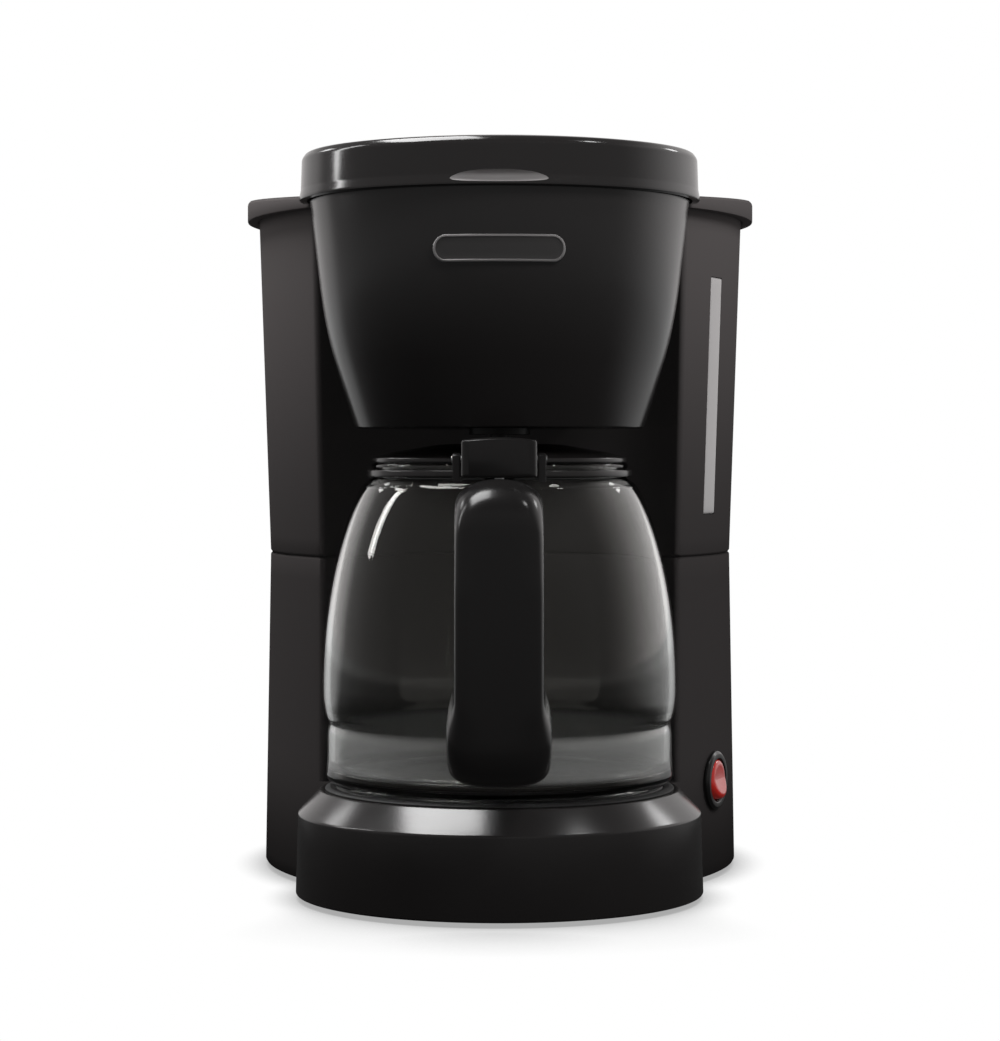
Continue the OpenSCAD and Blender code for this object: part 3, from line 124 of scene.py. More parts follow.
def principled(name, color, rough=0.3, metallic=0.0, coat=0.0, transmission=0.0, spec=0.5,
               bump=0.0, bump_scale=400.0, rough_var=0.0, rough_scale=30.0, color_var=0.0,
               bevel=0.0, emission=None, streak=None, light_falloff=None):
    m, nt, b = material(name, {
        "Base Color": (*color, 1), "Roughness": rough, "Metallic": metallic, "Coat Weight": coat,
        "Coat Roughness": 0.05, "IOR": 1.5, "Specular IOR Level": spec,
        "Transmission Weight": transmission})
    if emission:
        feed(b, "Emission Color", (*emission[:3], 1))
        feed(b, "Emission Strength", emission[3])
    coord = add(nt, "TexCoord")
    place = coord.outputs["Object"]
    if streak:
        place = add(nt, "Mapping", {"Vector": place, "Scale": streak}).outputs["Vector"]
    if rough_var:
        feed(b, "Roughness", ramp(nt, noise(nt, place, rough_scale, 6), 0.3, 0.7,
                                  max(0.0, rough - rough_var), rough + rough_var, False))
    if color_var:
        mix = add(nt, "Mix", {"Factor": noise(nt, place, rough_scale * 0.6, 4),
                              "A": (*[c * (1 - color_var) for c in color], 1),
                              "B": (*[c * (1 + color_var) for c in color], 1)}, data_type="RGBA")
        feed(b, "Base Color", mix.outputs["Result"])
    if light_falloff:
        # painted light: the colour is made lighter towards the top, in two steps of (low z, high z,
        # low factor, high factor), but darker where a face looks up
        height, up = (xyz(nt, coord.outputs[key])[2] for key in ("Object", "Normal"))
        level = calc(nt, "MULTIPLY", *[ramp(nt, height, *step) for step in light_falloff])
        level = calc(nt, "MULTIPLY", level, ramp(nt, up, 0.3, 0.95, 1.0, 0.5))
        painted_light_color = add(nt, "VectorMath", {0: color, 1: level}, operation="MULTIPLY")
        feed(b, "Base Color", painted_light_color.outputs[0])
    normal = None
    if bevel:
        normal = add(nt, "Bevel", {"Radius": bevel * MM}, samples=4).outputs["Normal"]
    if bump:
        normal = bumped(nt, noise(nt, place, bump_scale, 3), bump, 0.0002, normal)
    if normal:
        feed(b, "Normal", normal)
    return m


BAND_CLEAR = 0.84
BAND_LOW, BAND_HIGH = (0.0425, 0.0445), (0.0555, 0.058)


def glass_material():
    m, nt, b = material("glass_clear", {
        "Base Color": (0.93, 0.945, 0.93, 1), "Roughness": 0.0, "IOR": 1.5,
        "Specular Tint": (0.55, 0.53, 0.5, 1)})
    place = add(nt, "TexCoord").outputs["Object"]
    feed(b, "Normal", bumped(nt, noise(nt, place, 22, 2), 0.04, 0.002))
    # painted light: the straight band under the waist lets less light through and so shows paler,
    # standing in for the light from the base seen through the glass
    z = xyz(nt, place)[2]
    feed(b, "Transmission Weight", calc(
        nt, "MAXIMUM", ramp(nt, z, *BAND_HIGH, BAND_CLEAR, 1.0, False),
        ramp(nt, z, *BAND_LOW, 1.0, BAND_CLEAR, False)))
    return m


BLACK = (0.014, 0.0128, 0.0127)
LOOKS = {
    "housing_black": dict(color=BLACK, rough=0.2, rough_var=0.04, bump=0.05, bump_scale=900,
                          color_var=0.1),
    # painted light: the tower glows faintly to lift its shaded hollow, and its colour grows lighter
    # towards the top
    "tower_black": dict(color=(0.0475, 0.0435, 0.0434), rough=0.5, rough_var=0.04, spec=0.0,
                        bump=0.06, bump_scale=1600, emission=(1.0, 0.95, 0.95, 0.003),
                        light_falloff=((0.0, 0.045, 0.3, 1.0), (0.1, 0.25, 0.9, 2.4))),
    "lid_black": dict(color=BLACK, rough=0.13, rough_var=0.03, bump=0.04, bump_scale=900,
                      color_var=0.1),
    # painted highlight: the scoop's cut faces are pale to show the lit crescent
    "scoop_painted_highlight": dict(color=(0.25, 0.24, 0.24), rough=0.4, bump=0.05, bump_scale=900),
    # painted light: the handle glows faintly to lift its underside, which faces the dark floor
    "handle_black": dict(color=(0.007, 0.0066, 0.0066), rough=0.2, rough_var=0.03, spec=0.26,
                         bump=0.05, bump_scale=900, emission=(1.0, 0.95, 0.95, 0.002)),
    "inner_black": dict(color=(0.014, 0.0135, 0.0135), rough=0.45, rough_var=0.06, bump=0.15,
                        bump_scale=1500, color_var=0.1, bevel=0.3),
    "switch_black": dict(color=(0.008, 0.008, 0.008), rough=0.28, rough_var=0.05, bump=0.05,
                         bump_scale=1200),
    "white_plastic": dict(color=(0.78, 0.77, 0.73), rough=0.4, rough_var=0.06, color_var=0.03,
                          bump=0.05, bevel=0.25),
    "sleeve_white": dict(color=(0.8, 0.79, 0.75), rough=0.85, bump=0.5, bump_scale=2500,
                         color_var=0.05),
    "window_smoke": dict(color=(0.42, 0.405, 0.405), rough=0.22, rough_var=0.05, bump=0.05,
                         bump_scale=1200, color_var=0.08),
    "steel": dict(color=(0.56, 0.57, 0.58), rough=0.3, metallic=1.0, rough_var=0.1,
                  rough_scale=300, bevel=0.2),
    "aluminium": dict(color=(0.72, 0.73, 0.74), rough=0.4, metallic=1.0, rough_var=0.12,
                      rough_scale=200, bump=0.2, bevel=0.3),
    "element_metal": dict(color=(0.4, 0.39, 0.38), rough=0.35, metallic=1.0, rough_var=0.1,
                          rough_scale=150, bevel=0.2),
    "plate_coating": dict(color=(0.012, 0.012, 0.012), rough=0.4, rough_var=0.1, rough_scale=120,
                          bump=0.25, bump_scale=2200),
    "rubber_black": dict(color=(0.016, 0.016, 0.016), rough=0.62, rough_var=0.08, bump=0.2,
                         bump_scale=1800, color_var=0.15),
    "silicone": dict(color=(0.62, 0.6, 0.53), rough=0.45, rough_var=0.05, color_var=0.04,
                     bevel=0.25),
    "seal_red": dict(color=(0.3, 0.05, 0.04), rough=0.5, rough_var=0.08),
    "plate_grey": dict(color=(0.06, 0.058, 0.058), rough=0.36, metallic=0.4, rough_var=0.05,
                       rough_scale=500, streak=(1, 1, 40)),
    "plate_rim": dict(color=(0.34, 0.33, 0.33), rough=0.42, metallic=0.6, rough_var=0.05,
                      rough_scale=500),
    "lamp_orange": dict(color=(0.9, 0.4, 0.15), rough=0.1, transmission=0.6),
    "brass": dict(color=(0.7, 0.5, 0.2), rough=0.3, metallic=1.0, rough_var=0.1, rough_scale=300,
                  bevel=0.15),
    "wire_sleeve": dict(color=(0.4, 0.06, 0.04), rough=0.35, rough_var=0.05),
    "lens_red": dict(color=(0.42, 0.018, 0.014), rough=0.16, rough_var=0.03, coat=0.5,
                     emission=(0.6, 0.03, 0.02, 0.12), color_var=0.12, rough_scale=80),
}
MAT = {name: principled(name, **look) for name, look in LOOKS.items()}
MAT["glass_clear"] = glass_material()
SLOT_OF = {p["node"]: p["material_slot"] for p in frame["record"]["subparts"]}


# ------------------------------------------------------------------ mesh helpers

@contextmanager
def edited(me):
    """The mesh opened for edits, which are written back at the end."""
    bm = bmesh.new()
    bm.from_mesh(me)
    yield bm
    bm.to_mesh(me)
    bm.free()


def new_object(name, verts, faces, mat, angle=32, axis=True):
    """An object from points in millimetres, moved back to the row frame if axis is true."""
    me = bpy.data.meshes.new(name)
    off = AXIS_Y if axis else 0.0
    me.from_pydata([(x * MM, (y + off) * MM, z * MM) for x, y, z in verts], [], faces)
    me.validate()
    with edited(me) as bm:
        bmesh.ops.remove_doubles(bm, verts=bm.verts, dist=1e-7)
        bmesh.ops.recalc_face_normals(bm, faces=bm.faces)
    o = bpy.data.objects.new(name, me)
    scene.collection.objects.link(o)
    if mat:
        me.materials.append(MAT[mat])
    shade(o, angle)
    return o


def shade(o, angle=32):
    me = o.data
    me.polygons.foreach_set("use_smooth", [True] * len(me.polygons))
    me.set_sharp_from_angle(angle=math.radians(angle))


def applied(o):
    """o as a mesh with its modifiers applied."""
    me = bpy.data.meshes.new_from_object(o.evaluated_get(bpy.context.evaluated_depsgraph_get()))
    if o.type != "MESH":
        name = o.name
        bpy.data.objects.remove(o)
        o = bpy.data.objects.new(name, me)
        scene.collection.objects.link(o)
    o.modifiers.clear()
    o.data = me
    shade(o)
    return o


def boolean(o, cutter):
    """Cuts the cutter out of o and deletes it."""
    m = o.modifiers.new("cut", "BOOLEAN")
    m.operation = "DIFFERENCE"
    m.solver = "EXACT"
    m.object = cutter
    if cutter.data.materials:
        m.material_mode = "TRANSFER"
    applied(o)
    bpy.data.objects.remove(cutter)


def join(name, *objs, angle=32):
    verts, faces, mats, idx = [], [], [], []
    for o in objs:
        me = o.data
        for m in me.materials:
            if m not in mats:
                mats.append(m)
        faces += [[len(verts) + i for i in p.vertices] for p in me.polygons]
        verts += [tuple(o.matrix_world @ v.co) for v in me.vertices]
        idx += [mats.index(me.materials[p.material_index]) for p in me.polygons]
    me = bpy.data.meshes.new(name)
    me.from_pydata(verts, [], faces)
    for m in mats:
        me.materials.append(m)
    me.polygons.foreach_set("material_index", idx)
    for o in objs:
        bpy.data.objects.remove(o)
    o = bpy.data.objects.new(name, me)
    scene.collection.objects.link(o)
    shade(o, angle)
    return o


def lerp(a, b, t):
    return a + (b - a) * t


def arc(r, a0, a1, n, cx=0.0, cy=0.0, end=False):
    """Points of an arc in n steps, from angle a0 to a1; the last one only if end is true."""
    return [(cx + r * math.cos(lerp(a0, a1, i / n)), cy + r * math.sin(lerp(a0, a1, i / n)))
            for i in range(n + end)]


def circle(r, n=64, cx=0.0, cy=0.0):
    return arc(r, 0.0, 2 * math.pi, n, cx, cy)


def fillet(points, radius=0.0, n=5, closed=True):
    """Points (x, y) or (x, y, r) with their corners rounded."""
    pts = [(p[0], p[1], p[2] if len(p) > 2 else radius) for p in points]
    out = []
    k = len(pts)
    for i, (x, y, r) in enumerate(pts):
        if r <= 0 or (not closed and i in (0, k - 1)):
            out.append((x, y))
            continue
        p = np.array((x, y))
        a = np.array(pts[i - 1][:2]) - p
        b = np.array(pts[(i + 1) % k][:2]) - p
        la, lb = np.linalg.norm(a), np.linalg.norm(b)
        a, b = a / la, b / lb
        half = math.acos(max(-1, min(1, float(a @ b)))) / 2
        if half > math.radians(88):
            out.append((x, y))
            continue
        d = min(r / math.tan(half), la * 0.49, lb * 0.49)
        r = d * math.tan(half)
        c = p + (a + b) / np.linalg.norm(a + b) * (r / math.sin(half))
        s, e = p + a * d - c, p + b * d - c
        t0, t1 = math.atan2(s[1], s[0]), math.atan2(e[1], e[0])
        dt = (t1 - t0 + math.pi) % (2 * math.pi) - math.pi
        out += arc(r, t0, t0 + dt, n, *c, end=True)
    return out


def revolve(name, profile, mat, steps=192, closed=True, angle=32, axis=True):
    """A solid of revolution from (r, z) points."""
    verts, rows, faces = [], [], []
    for r, z in profile:
        if r < 1e-5:
            rows.append([len(verts)] * steps)
            verts.append((0, 0, z))
        else:
            rows.append(list(range(len(verts), len(verts) + steps)))
            verts += [(x, y, z) for x, y in circle(r, steps)]
    for a, b in zip(rows, rows[1:] + rows[:1] * closed):
        for i in range(steps):
            k = (i + 1) % steps
            f = list(dict.fromkeys((a[i], a[k], b[k], b[i])))
            if len(f) > 2:
                faces.append(f)
    return new_object(name, verts, faces, mat, angle, axis)


def loft(name, loops, mat, cap_first=True, cap_last=True, angle=32, axis=True):
    """Quads between closed loops of (x, y, z) with the same number of points."""
    n, m = len(loops[0]), len(loops)
    faces = [(j * n + i, j * n + (i + 1) % n, (j + 1) * n + (i + 1) % n, (j + 1) * n + i)
             for j in range(m - 1) for i in range(n)]
    if cap_first:
        faces.append(tuple(range(n)))
    if cap_last:
        faces.append(tuple(range((m - 1) * n, m * n)))
    return new_object(name, [p for loop in loops for p in loop], faces, mat, angle, axis)


def plate(name, outlines, z0, z1, bevel, mat, res=3, axis=True):
    """A flat piece with holes and rounded edges, from closed outlines in millimetres."""
    cu = bpy.data.curves.new(name, "CURVE")
    cu.dimensions = "2D"
    cu.fill_mode = "BOTH"
    for line in outlines:
        sp = cu.splines.new("POLY")
        sp.points.add(len(line) - 1)
        for p, q in zip(sp.points, line):
            p.co = (q[0] * MM, (q[1] + (AXIS_Y if axis else 0)) * MM, 0, 1)
        sp.use_cyclic_u = True
    cu.offset = -bevel * MM
    cu.bevel_depth = bevel * MM
    cu.bevel_resolution = res
    cu.extrude = ((z1 - z0) / 2 - bevel) * MM
    o = bpy.data.objects.new(name, cu)
    scene.collection.objects.link(o)
    bpy.context.view_layer.update()
    o = applied(o)
    o.data.transform(Matrix.Translation((0, 0, (z0 + z1) / 2 * MM)))
    with edited(o.data) as bm:
        bmesh.ops.remove_doubles(bm, verts=bm.verts, dist=2e-6)
    o.data.materials.clear()
    o.data.materials.append(MAT[mat])
    shade(o)
    return o


BOX_FACES = [(0, 1, 3, 2), (4, 6, 7, 5), (0, 4, 5, 1), (2, 3, 7, 6), (0, 2, 6, 4), (1, 5, 7, 3)]


def solid_box(name, lo, hi, mat, bevel, seg=3, axis=True):
    corners = [(x, y, z) for z in (lo[2], hi[2]) for y in (lo[1], hi[1]) for x in (lo[0], hi[0])]
    o = new_object(name, corners, BOX_FACES, mat, 32, axis)
    m = o.modifiers.new("b", "BEVEL")
    m.width = bevel * MM
    m.segments = seg
    m.limit_method = "NONE"
    return applied(o)


def rounded_rect(w, d, r, cx=0.0, cy=0.0, n=8):
    return fillet([(cx - w / 2, cy - d / 2), (cx + w / 2, cy - d / 2), (cx + w / 2, cy + d / 2),
                   (cx - w / 2, cy + d / 2)], r, n)


def both_sides(x0, x1):
    """The same span on the left and on the right."""
    return (-x1, -x0), (x0, x1)


# ------------------------------------------------------------------ tower plan

SIDE_R, SIDE_C, WIDE_Y, BACK_Y, CORNER_R = 119.0, 37.0, 87.0, 140.0, 24.0
CORNER_Y = BACK_Y - CORNER_R
CORNER_X = math.sqrt((SIDE_R - CORNER_R) ** 2 - (CORNER_Y - WIDE_Y) ** 2) - SIDE_C
CORNER_A = math.atan2(CORNER_Y - WIDE_Y, CORNER_X + SIDE_C)
FOOT_GROW, TOP_GROW = 2.0, 4.0
# Radius of the hollow front at the seam, and what it gains per millimetre of height
RECESS_R, RECESS_GAIN = 61.8, 0.009
# Steps along the tower's side, its hollow front, the tip between them, its corner and half its back
N_SIDE, N_FRONT, N_TIP, N_CORNER, N_BACK = 44, 44, 6, 16, 12


def recess_at(z):
    return RECESS_R + RECESS_GAIN * (z - SPLIT_Z)


def low_grow(z):
    return FOOT_GROW * (SPLIT_Z - z) / (SPLIT_Z - FOOT_Z)


def high_grow(z):
    return TOP_GROW * (z - SPLIT_Z) / (TANK_TOP - SPLIT_Z)


def tower_plan(z, g, rec, tip=1.4, open_front=True):
    """Closed plan outline of the tower at height z, grown by g, with a hollow of radius rec."""
    side = SIDE_R + g
    # the tip's centre lies at these distances from the middle of the side's arc and the origin
    far, near = side - tip, rec + tip
    d = math.hypot(SIDE_C, WIDE_Y)
    a = (near ** 2 - far ** 2 + d ** 2) / (2 * d)
    h = math.sqrt(max(0.0, near ** 2 - a * a))
    ux, uy = -SIDE_C / d, WIDE_Y / d
    px, py = max((a * ux + h * uy, a * uy - h * ux), (a * ux - h * uy, a * uy + h * ux))
    inner, outer = math.atan2(py, px), math.atan2(py - WIDE_Y, px + SIDE_C)
    if open_front:
        start = inner + math.pi
        right = (arc(rec, math.pi / 2, inner, N_FRONT)
                 + arc(tip, start, start + (outer - start) % (2 * math.pi), N_TIP, px, py))
    else:
        right = arc(side, -math.acos(SIDE_C / side), outer, N_FRONT + N_TIP, -SIDE_C, WIDE_Y)
    right += arc(side, outer, CORNER_A, N_SIDE, -SIDE_C, WIDE_Y)
    right += arc(CORNER_R + g, CORNER_A, math.pi / 2, N_CORNER, CORNER_X, CORNER_Y)
    right += [(CORNER_X * (1 - i / N_BACK), BACK_Y + g) for i in range(N_BACK)]
    left = [(-x, y) for x, y in reversed(right[1:])]
    return [(x, y, z) for x, y in right + [(0.0, BACK_Y + g)] + left]


def seam_edge(grow, side):
    """Rounded edge at the seam, from inside out; side is -1 below the seam and 1 above it."""
    return [tower_plan(SPLIT_Z + side * dz, grow(SPLIT_Z + side * dz) - d,
                       recess_at(SPLIT_Z + side * dz) + d)
            for dz, d in ((0.6, 0.12), (0.25, 0.4), (0.0, 0.85))]


# ------------------------------------------------------------------ base

def base_housing():
    well_r, skin_r = 56.2, 64.9
    outer = fillet([(0, FOOT_Z), (skin_r, FOOT_Z, 0.3), (67.3, FOOT_Z, 0.7), (66.5, BEVEL_Z, 1.4),
                    (59.0, BASE_Z, 1.2), (well_r, BASE_Z, 0.3), (well_r, BASE_Z - WALL),
                    (0, BASE_Z - WALL)], 0, 6, closed=False)[1:-2]
    inner = [(well_r, 33.4), (58.0, 33.4), (64.0, 27.3), (skin_r, FOOT_Z)]
    round_base = revolve("round_base", outer + inner, "housing_black", steps=240)
    front_r, rec = 62, recess_at(SPLIT_Z)
    loops = [tower_plan(z, low_grow(z) - WALL - d, front_r, open_front=False)
             for z, d in ((10, 0.4), (FOOT_Z, 0.0))]
    loops += [tower_plan(z, low_grow(z) - d, front_r, open_front=False)
              for z, d in ((FOOT_Z, 0.9), (FOOT_Z + 0.25, 0.4), (FOOT_Z + 0.9, 0.0))]
    loops += [tower_plan(z, low_grow(z), recess_at(BASE_Z), open_front=False)
              for z in np.linspace(6, BASE_Z, 8)]
    loops += [tower_plan(z, low_grow(z), recess_at(z))
              for z in np.linspace(BASE_Z, SPLIT_Z - 0.9, 12)]
    loops += seam_edge(low_grow, -1)
    loops += [tower_plan(SPLIT_Z - dz, -w, rec + w, 0.6)
              for dz, w in ((0.0, 1.9), (0.5, WALL), (12, WALL))]
    tower = loft("tower_low", loops, "tower_black", False, False)
    # the tower's foot inside the round base, and the other way round, is left out
    prune(tower, lambda x, y, z: math.hypot(x, y) < 57.5 and z < 35.5)
    prune(round_base, lambda x, y, z: y > 24 and inside_tower(x, y, -4.5) and z < 35.9)
    boolean(tower, switch_cutter(8.7))
    return join("base_housing", round_base, tower)


def inside_tower(x, y, g):
    side = SIDE_R + g
    return (math.hypot(x + SIDE_C, y - WIDE_Y) < side and math.hypot(x - SIDE_C, y - WIDE_Y) < side
            and y < BACK_Y + g)


def prune(o, test):
    """Deletes the faces whose corners all pass the test, in millimetres about the carafe's axis."""
    with edited(o.data) as bm:
        gone = [f for f in bm.faces if all(
            test(v.co.x / MM, v.co.y / MM - AXIS_Y, v.co.z / MM) for v in f.verts)]
        bmesh.ops.delete(bm, geom=gone, context="FACES")


SWITCH_A, SWITCH_Z, BEZEL_R = math.radians(-23.5), 34.0, 10.1
# Out to the bezel's back, which clears the wall at its lower edge
SWITCH_N = SIDE_R + low_grow(SWITCH_Z - BEZEL_R) + 0.1


def place_on_switch(o):
    """Moves o from the origin onto the tower's side: x down, y along the side and z out of it."""
    out, along = (Vector((math.cos(a), math.sin(a), 0)) for a in (SWITCH_A, SWITCH_A + math.pi / 2))
    turn = Matrix((Vector((0, 0, -1)), along, out)).transposed().to_4x4()
    turn.translation = (Vector((-SIDE_C, WIDE_Y + AXIS_Y, SWITCH_Z)) + out * SWITCH_N) * MM
    o.data.transform(turn)
    return o


def switch_cutter(r):
    return place_on_switch(revolve("cutter", [(0, -8), (r, -8), (r, 6), (0, 6)], None, 96,
                                   closed=False, axis=False))


# ------------------------------------------------------------------ tank and deck

def slope_down(o, above):
    """Lets everything above a height fall away towards the front of the slope's line."""
    line = (SLOPE_Y + AXIS_Y) * MM
    with edited(o.data) as bm:
        bmesh.ops.bisect_plane(bm, geom=bm.verts[:] + bm.edges[:] + bm.faces[:],
                               plane_co=(0, line, 0), plane_no=(0, 1, 0))
        for v in bm.verts:
            if v.co.z > above * MM:
                v.co.z -= SLOPE * max(0.0, line - v.co.y)
    shade(o)


def tank():
    loops = [tower_plan(SPLIT_Z + 3, -WALL, recess_at(SPLIT_Z) + WALL, 0.6)]
    loops += [tower_plan(z, high_grow(z) - WALL, recess_at(z) + WALL, 0.6)
              for z in np.linspace(SPLIT_Z + 3.5, TANK_TOP, 8)]
    loops.append(tower_plan(TANK_TOP, high_grow(TANK_TOP) - 0.3, recess_at(TANK_TOP) + 0.3))
    loops += [tower_plan(z, high_grow(z), recess_at(z))
              for z in np.linspace(TANK_TOP - 0.4, SPLIT_Z + 0.9, 24)]
    o = loft("tank_body", loops + seam_edge(high_grow, 1), "tower_black")
    slope_down(o, TANK_TOP - 0.45)
    boolean(o, window_block(8.0))
    return o


WINDOW_A, WINDOW_Z0, WINDOW_Z1, WINDOW_W = math.radians(-24.5), 125.5, 206.5, 10.5
DECK_T, HINGE_Y, HINGE_Z = 2.5, 138.0, 240.0


def side_point(a, n, z):
    return (-SIDE_C + n * math.cos(a), WIDE_Y + n * math.sin(a), z)


def window_block(depth):
    """A box across the tank's wall, for the window's opening."""
    out = Vector((math.cos(WINDOW_A), math.sin(WINDOW_A), 0))
    along = Vector((-out.y, out.x, 0))
    middle = Vector(side_point(WINDOW_A, SIDE_R, 0))
    corners = [(*(middle + along * s * WINDOW_W / 2 + out * d).xy, z)
               for z in (WINDOW_Z0, WINDOW_Z1) for s in (-1, 1) for d in (-depth, depth)]
    return new_object("window_block", corners, BOX_FACES, None)


def window():
    """The strip follows the curved side and has rounded edges."""
    play, deep = 0.12, 2.2
    half = (WINDOW_W / 2 - play) / SIDE_R
    edge = [(-half, -deep), (-half, -0.35), (-half + 0.002, -0.05), (-half + 0.0055, 0.0)]
    prof = edge + [(a, 0.0) for a in np.linspace(-half + 0.012, half - 0.012, 9)]
    prof += [(-a, d) for a, d in reversed(edge)]
    # the ends: how far each row lies from the window's end, and how far it drops back
    ends = ((play, deep), (0.2, 0.35), (0.55, 0.06))
    rows = [(WINDOW_Z0 + rise, drop) for rise, drop in ends]
    rows += [(z, 0.0) for z in np.linspace(WINDOW_Z0 + 1, WINDOW_Z1 - 1, 40)]
    rows += [(WINDOW_Z1 - rise, drop) for rise, drop in reversed(ends)]
    loops = []
    for z, drop in rows:
        r = SIDE_R + high_grow(z)
        loops.append([side_point(WINDOW_A + a, r + (min(d, -deep) if drop == deep else d - drop), z)
                      for a, d in prof])
    return loft("water_window", loops, "window_smoke")


def deck():
    g, inner_g = TOP_GROW + 4.0, TOP_GROW + 0.2
    r0, r1 = recess_at(COLLAR_Z) + 0.05, recess_at(DECK_Z)
    loops = [tower_plan(DECK_Z - DECK_T, inner_g, r1 + 0.05, 0.5),
             tower_plan(COLLAR_Z + 0.3, inner_g, r0, 0.5),
             tower_plan(COLLAR_Z, inner_g + 0.4, r0, 0.5)]
    loops += [tower_plan(z, g - d, recess_at(z) + 0.2 * d, 1.2) for z, d in (
        (COLLAR_Z, 0.5), (COLLAR_Z + 0.12, 0.15), (COLLAR_Z + 0.5, 0.0), (DECK_Z - 1.1, 0.0),
        (DECK_Z - 0.55, 0.15), (DECK_Z - 0.15, 0.55), (DECK_Z, 1.1))]
    skirt = loft("skirt", loops, "tower_black", False, False)
    top = [p[:2] for p in tower_plan(DECK_Z, g - 1.1, r1 + 0.2, 1.2)]
    fill_hole, spout = rounded_rect(98, 41, 8, 0, 106.5), circle(6.1, 48, 30, 72)
    t = plate("deck_top", [top, fill_hole, spout], DECK_Z - DECK_T, DECK_Z, 0.0001, "tower_black",
              0)
    o = join("deck", skirt, t)
    slope_down(o, COLLAR_Z + 1)
    ears = [ear("ear", x0, x1, HINGE_Y, HINGE_Z, 4.0, DECK_Z - 0.2, "tower_black")
            for x0, x1 in both_sides(22, 26)]
    return join("deck_collar", o, *ears)


def upright(name, outline, y, z, hole, x0, x1, bevel, mat):
    """A piece between x0 and x1, drawn in the y-z plane, with a hole across it at (y, z)."""
    o = plate(name, [outline, circle(hole, 32, y, z)], x0, x1, bevel, mat, 2, axis=False)
    # it was drawn with y as x and z as y
    o.data.transform(Matrix(((0, 0, 1, 0), (1, 0, 0, AXIS_Y * MM), (0, 1, 0, 0), (0, 0, 0, 1))))
    return o


def ear(name, x0, x1, y, z, r, low, mat, hole=1.55, bevel=0.4):
    """An upright lug with a round end and a cross hole."""
    out = [(y - r, low)] + arc(r, math.pi, 0, 24, y, z) + [(y + r, z), (y + r, low)]
    return upright(name, out, y, z, hole, x0, x1, bevel, mat)


# ------------------------------------------------------------------ brew head and lid

HEAD_TOP_R, HEAD_KNEE, HEAD_LOW_R = recess_at(HEAD_TOP) - 0.5, (57.4, 187.1), 47.4


def head_curve(g, n=24):
    """The head's side from its top down, grown by g: straight, bent at the knee, straight."""
    top, low = (HEAD_TOP_R, HEAD_TOP), (HEAD_LOW_R, HEAD_Z)
    a, b = ([lerp(HEAD_KNEE[i], end[i], 0.35) for i in (0, 1)] for end in (top, low))
    bend = [tuple((1 - t) ** 2 * a[i] + 2 * t * (1 - t) * HEAD_KNEE[i] + t * t * b[i]
                  for i in (0, 1)) for t in np.linspace(0, 1, n + 1)]
    return [(r + g, z) for r, z in [top] + bend + [low]]


def brew_head():
    outer, inner = head_curve(0), head_curve(-WALL)
    mouth, floor = 11.2, HEAD_Z + WALL
    prof = [(HEAD_TOP_R, HEAD_TOP, 0.4)] + outer[1:-1] + [
        (HEAD_LOW_R, HEAD_Z, 0.9), (mouth, HEAD_Z, 0.4), (mouth, floor, 0.4),
        (inner[-1][0] + 0.8, floor, 0.8)]
    prof += inner[-3:0:-1] + [(HEAD_TOP_R - WALL, HEAD_TOP, 0.3)]
    head = revolve("head_skin", fillet(prof, 0, 5), "housing_black", 256)
    r, half = recess_at(190) - 0.2, 24.0
    back = [(x, math.sqrt(r * r - x * x)) for x in np.linspace(half, -half, 13)]
    spine = plate("spine", [[(-half, 44), (half, 44)] + back], HEAD_Z + 0.05, HEAD_TOP - 4, 1.0,
                  "housing_black")
    prune(spine, lambda x, y, z: math.hypot(x, y) < 46.6)
    return join("brew_head_body", head, spine)


def name_plate():
    """A blank stadium-shaped plate, bent round the head."""
    w, h, slope = 42.0, 8.6, 0.086
    zc = HEAD_TOP - 19.7

    def face(x, z, d):
        r = HEAD_TOP_R - slope * (HEAD_TOP - z) + d
        return (r * math.sin(x / r), -r * math.cos(x / r), z)

    out = rounded_rect(w, h, h / 2 - 0.05, 0, 0, 12)
    fine = []
    for p, q in zip(out, out[1:] + out[:1]):
        k = max(1, int(math.dist(p, q) / 1.2))
        fine += [(lerp(p[0], q[0], j / k), lerp(p[1], q[1], j / k)) for j in range(k)]

    def ring(s, d):
        """The outline moved in by s and out of the head by d."""
        c = []
        for x, y in fine:
            ex = max(0.0, abs(x) - (w / 2 - h / 2))
            n = math.hypot(ex, y) or 1
            c.append(face(x - math.copysign(ex, x) / n * s, zc + y - y / n * s, d))
        return c

    rim = loft("plate_rim", [ring(s, d) for s, d in (
        (0, 0.05), (0, 0.5), (0.12, 0.72), (0.35, 0.84), (0.7, 0.84), (0.9, 0.6))],
        "plate_rim", True, False)
    inner = loft("plate_face", [ring(s, d) for s, d in (
        (0.9, 0.6), (1.3, 0.55), (2.6, 0.55), (3.6, 0.56))], "plate_grey", False, False)
    # the face is closed with rows of quads so that it follows the curve
    verts = [face(x, zc + y, 0.56) for x in np.linspace(3.2 - w / 2, w / 2 - 3.2, 41)
             for y in (-0.9, 0.0, 0.9)]
    faces = [(i * 3 + j, i * 3 + j + 1, (i + 1) * 3 + j + 1, (i + 1) * 3 + j)
             for i in range(40) for j in range(2)]
    fill = new_object("fill", verts, faces, "plate_grey")
    return join("blank_plate", rim, inner, fill, angle=40)


LID_R, LID_RIM, LID_DOME, LID_T = HEAD_TOP_R + 3.4, HEAD_TOP_R, 3.0, 2.4
TONGUE_Y, TONGUE_W = 131.0, 56.0
OVER_DECK = DECK_Z + 0.3


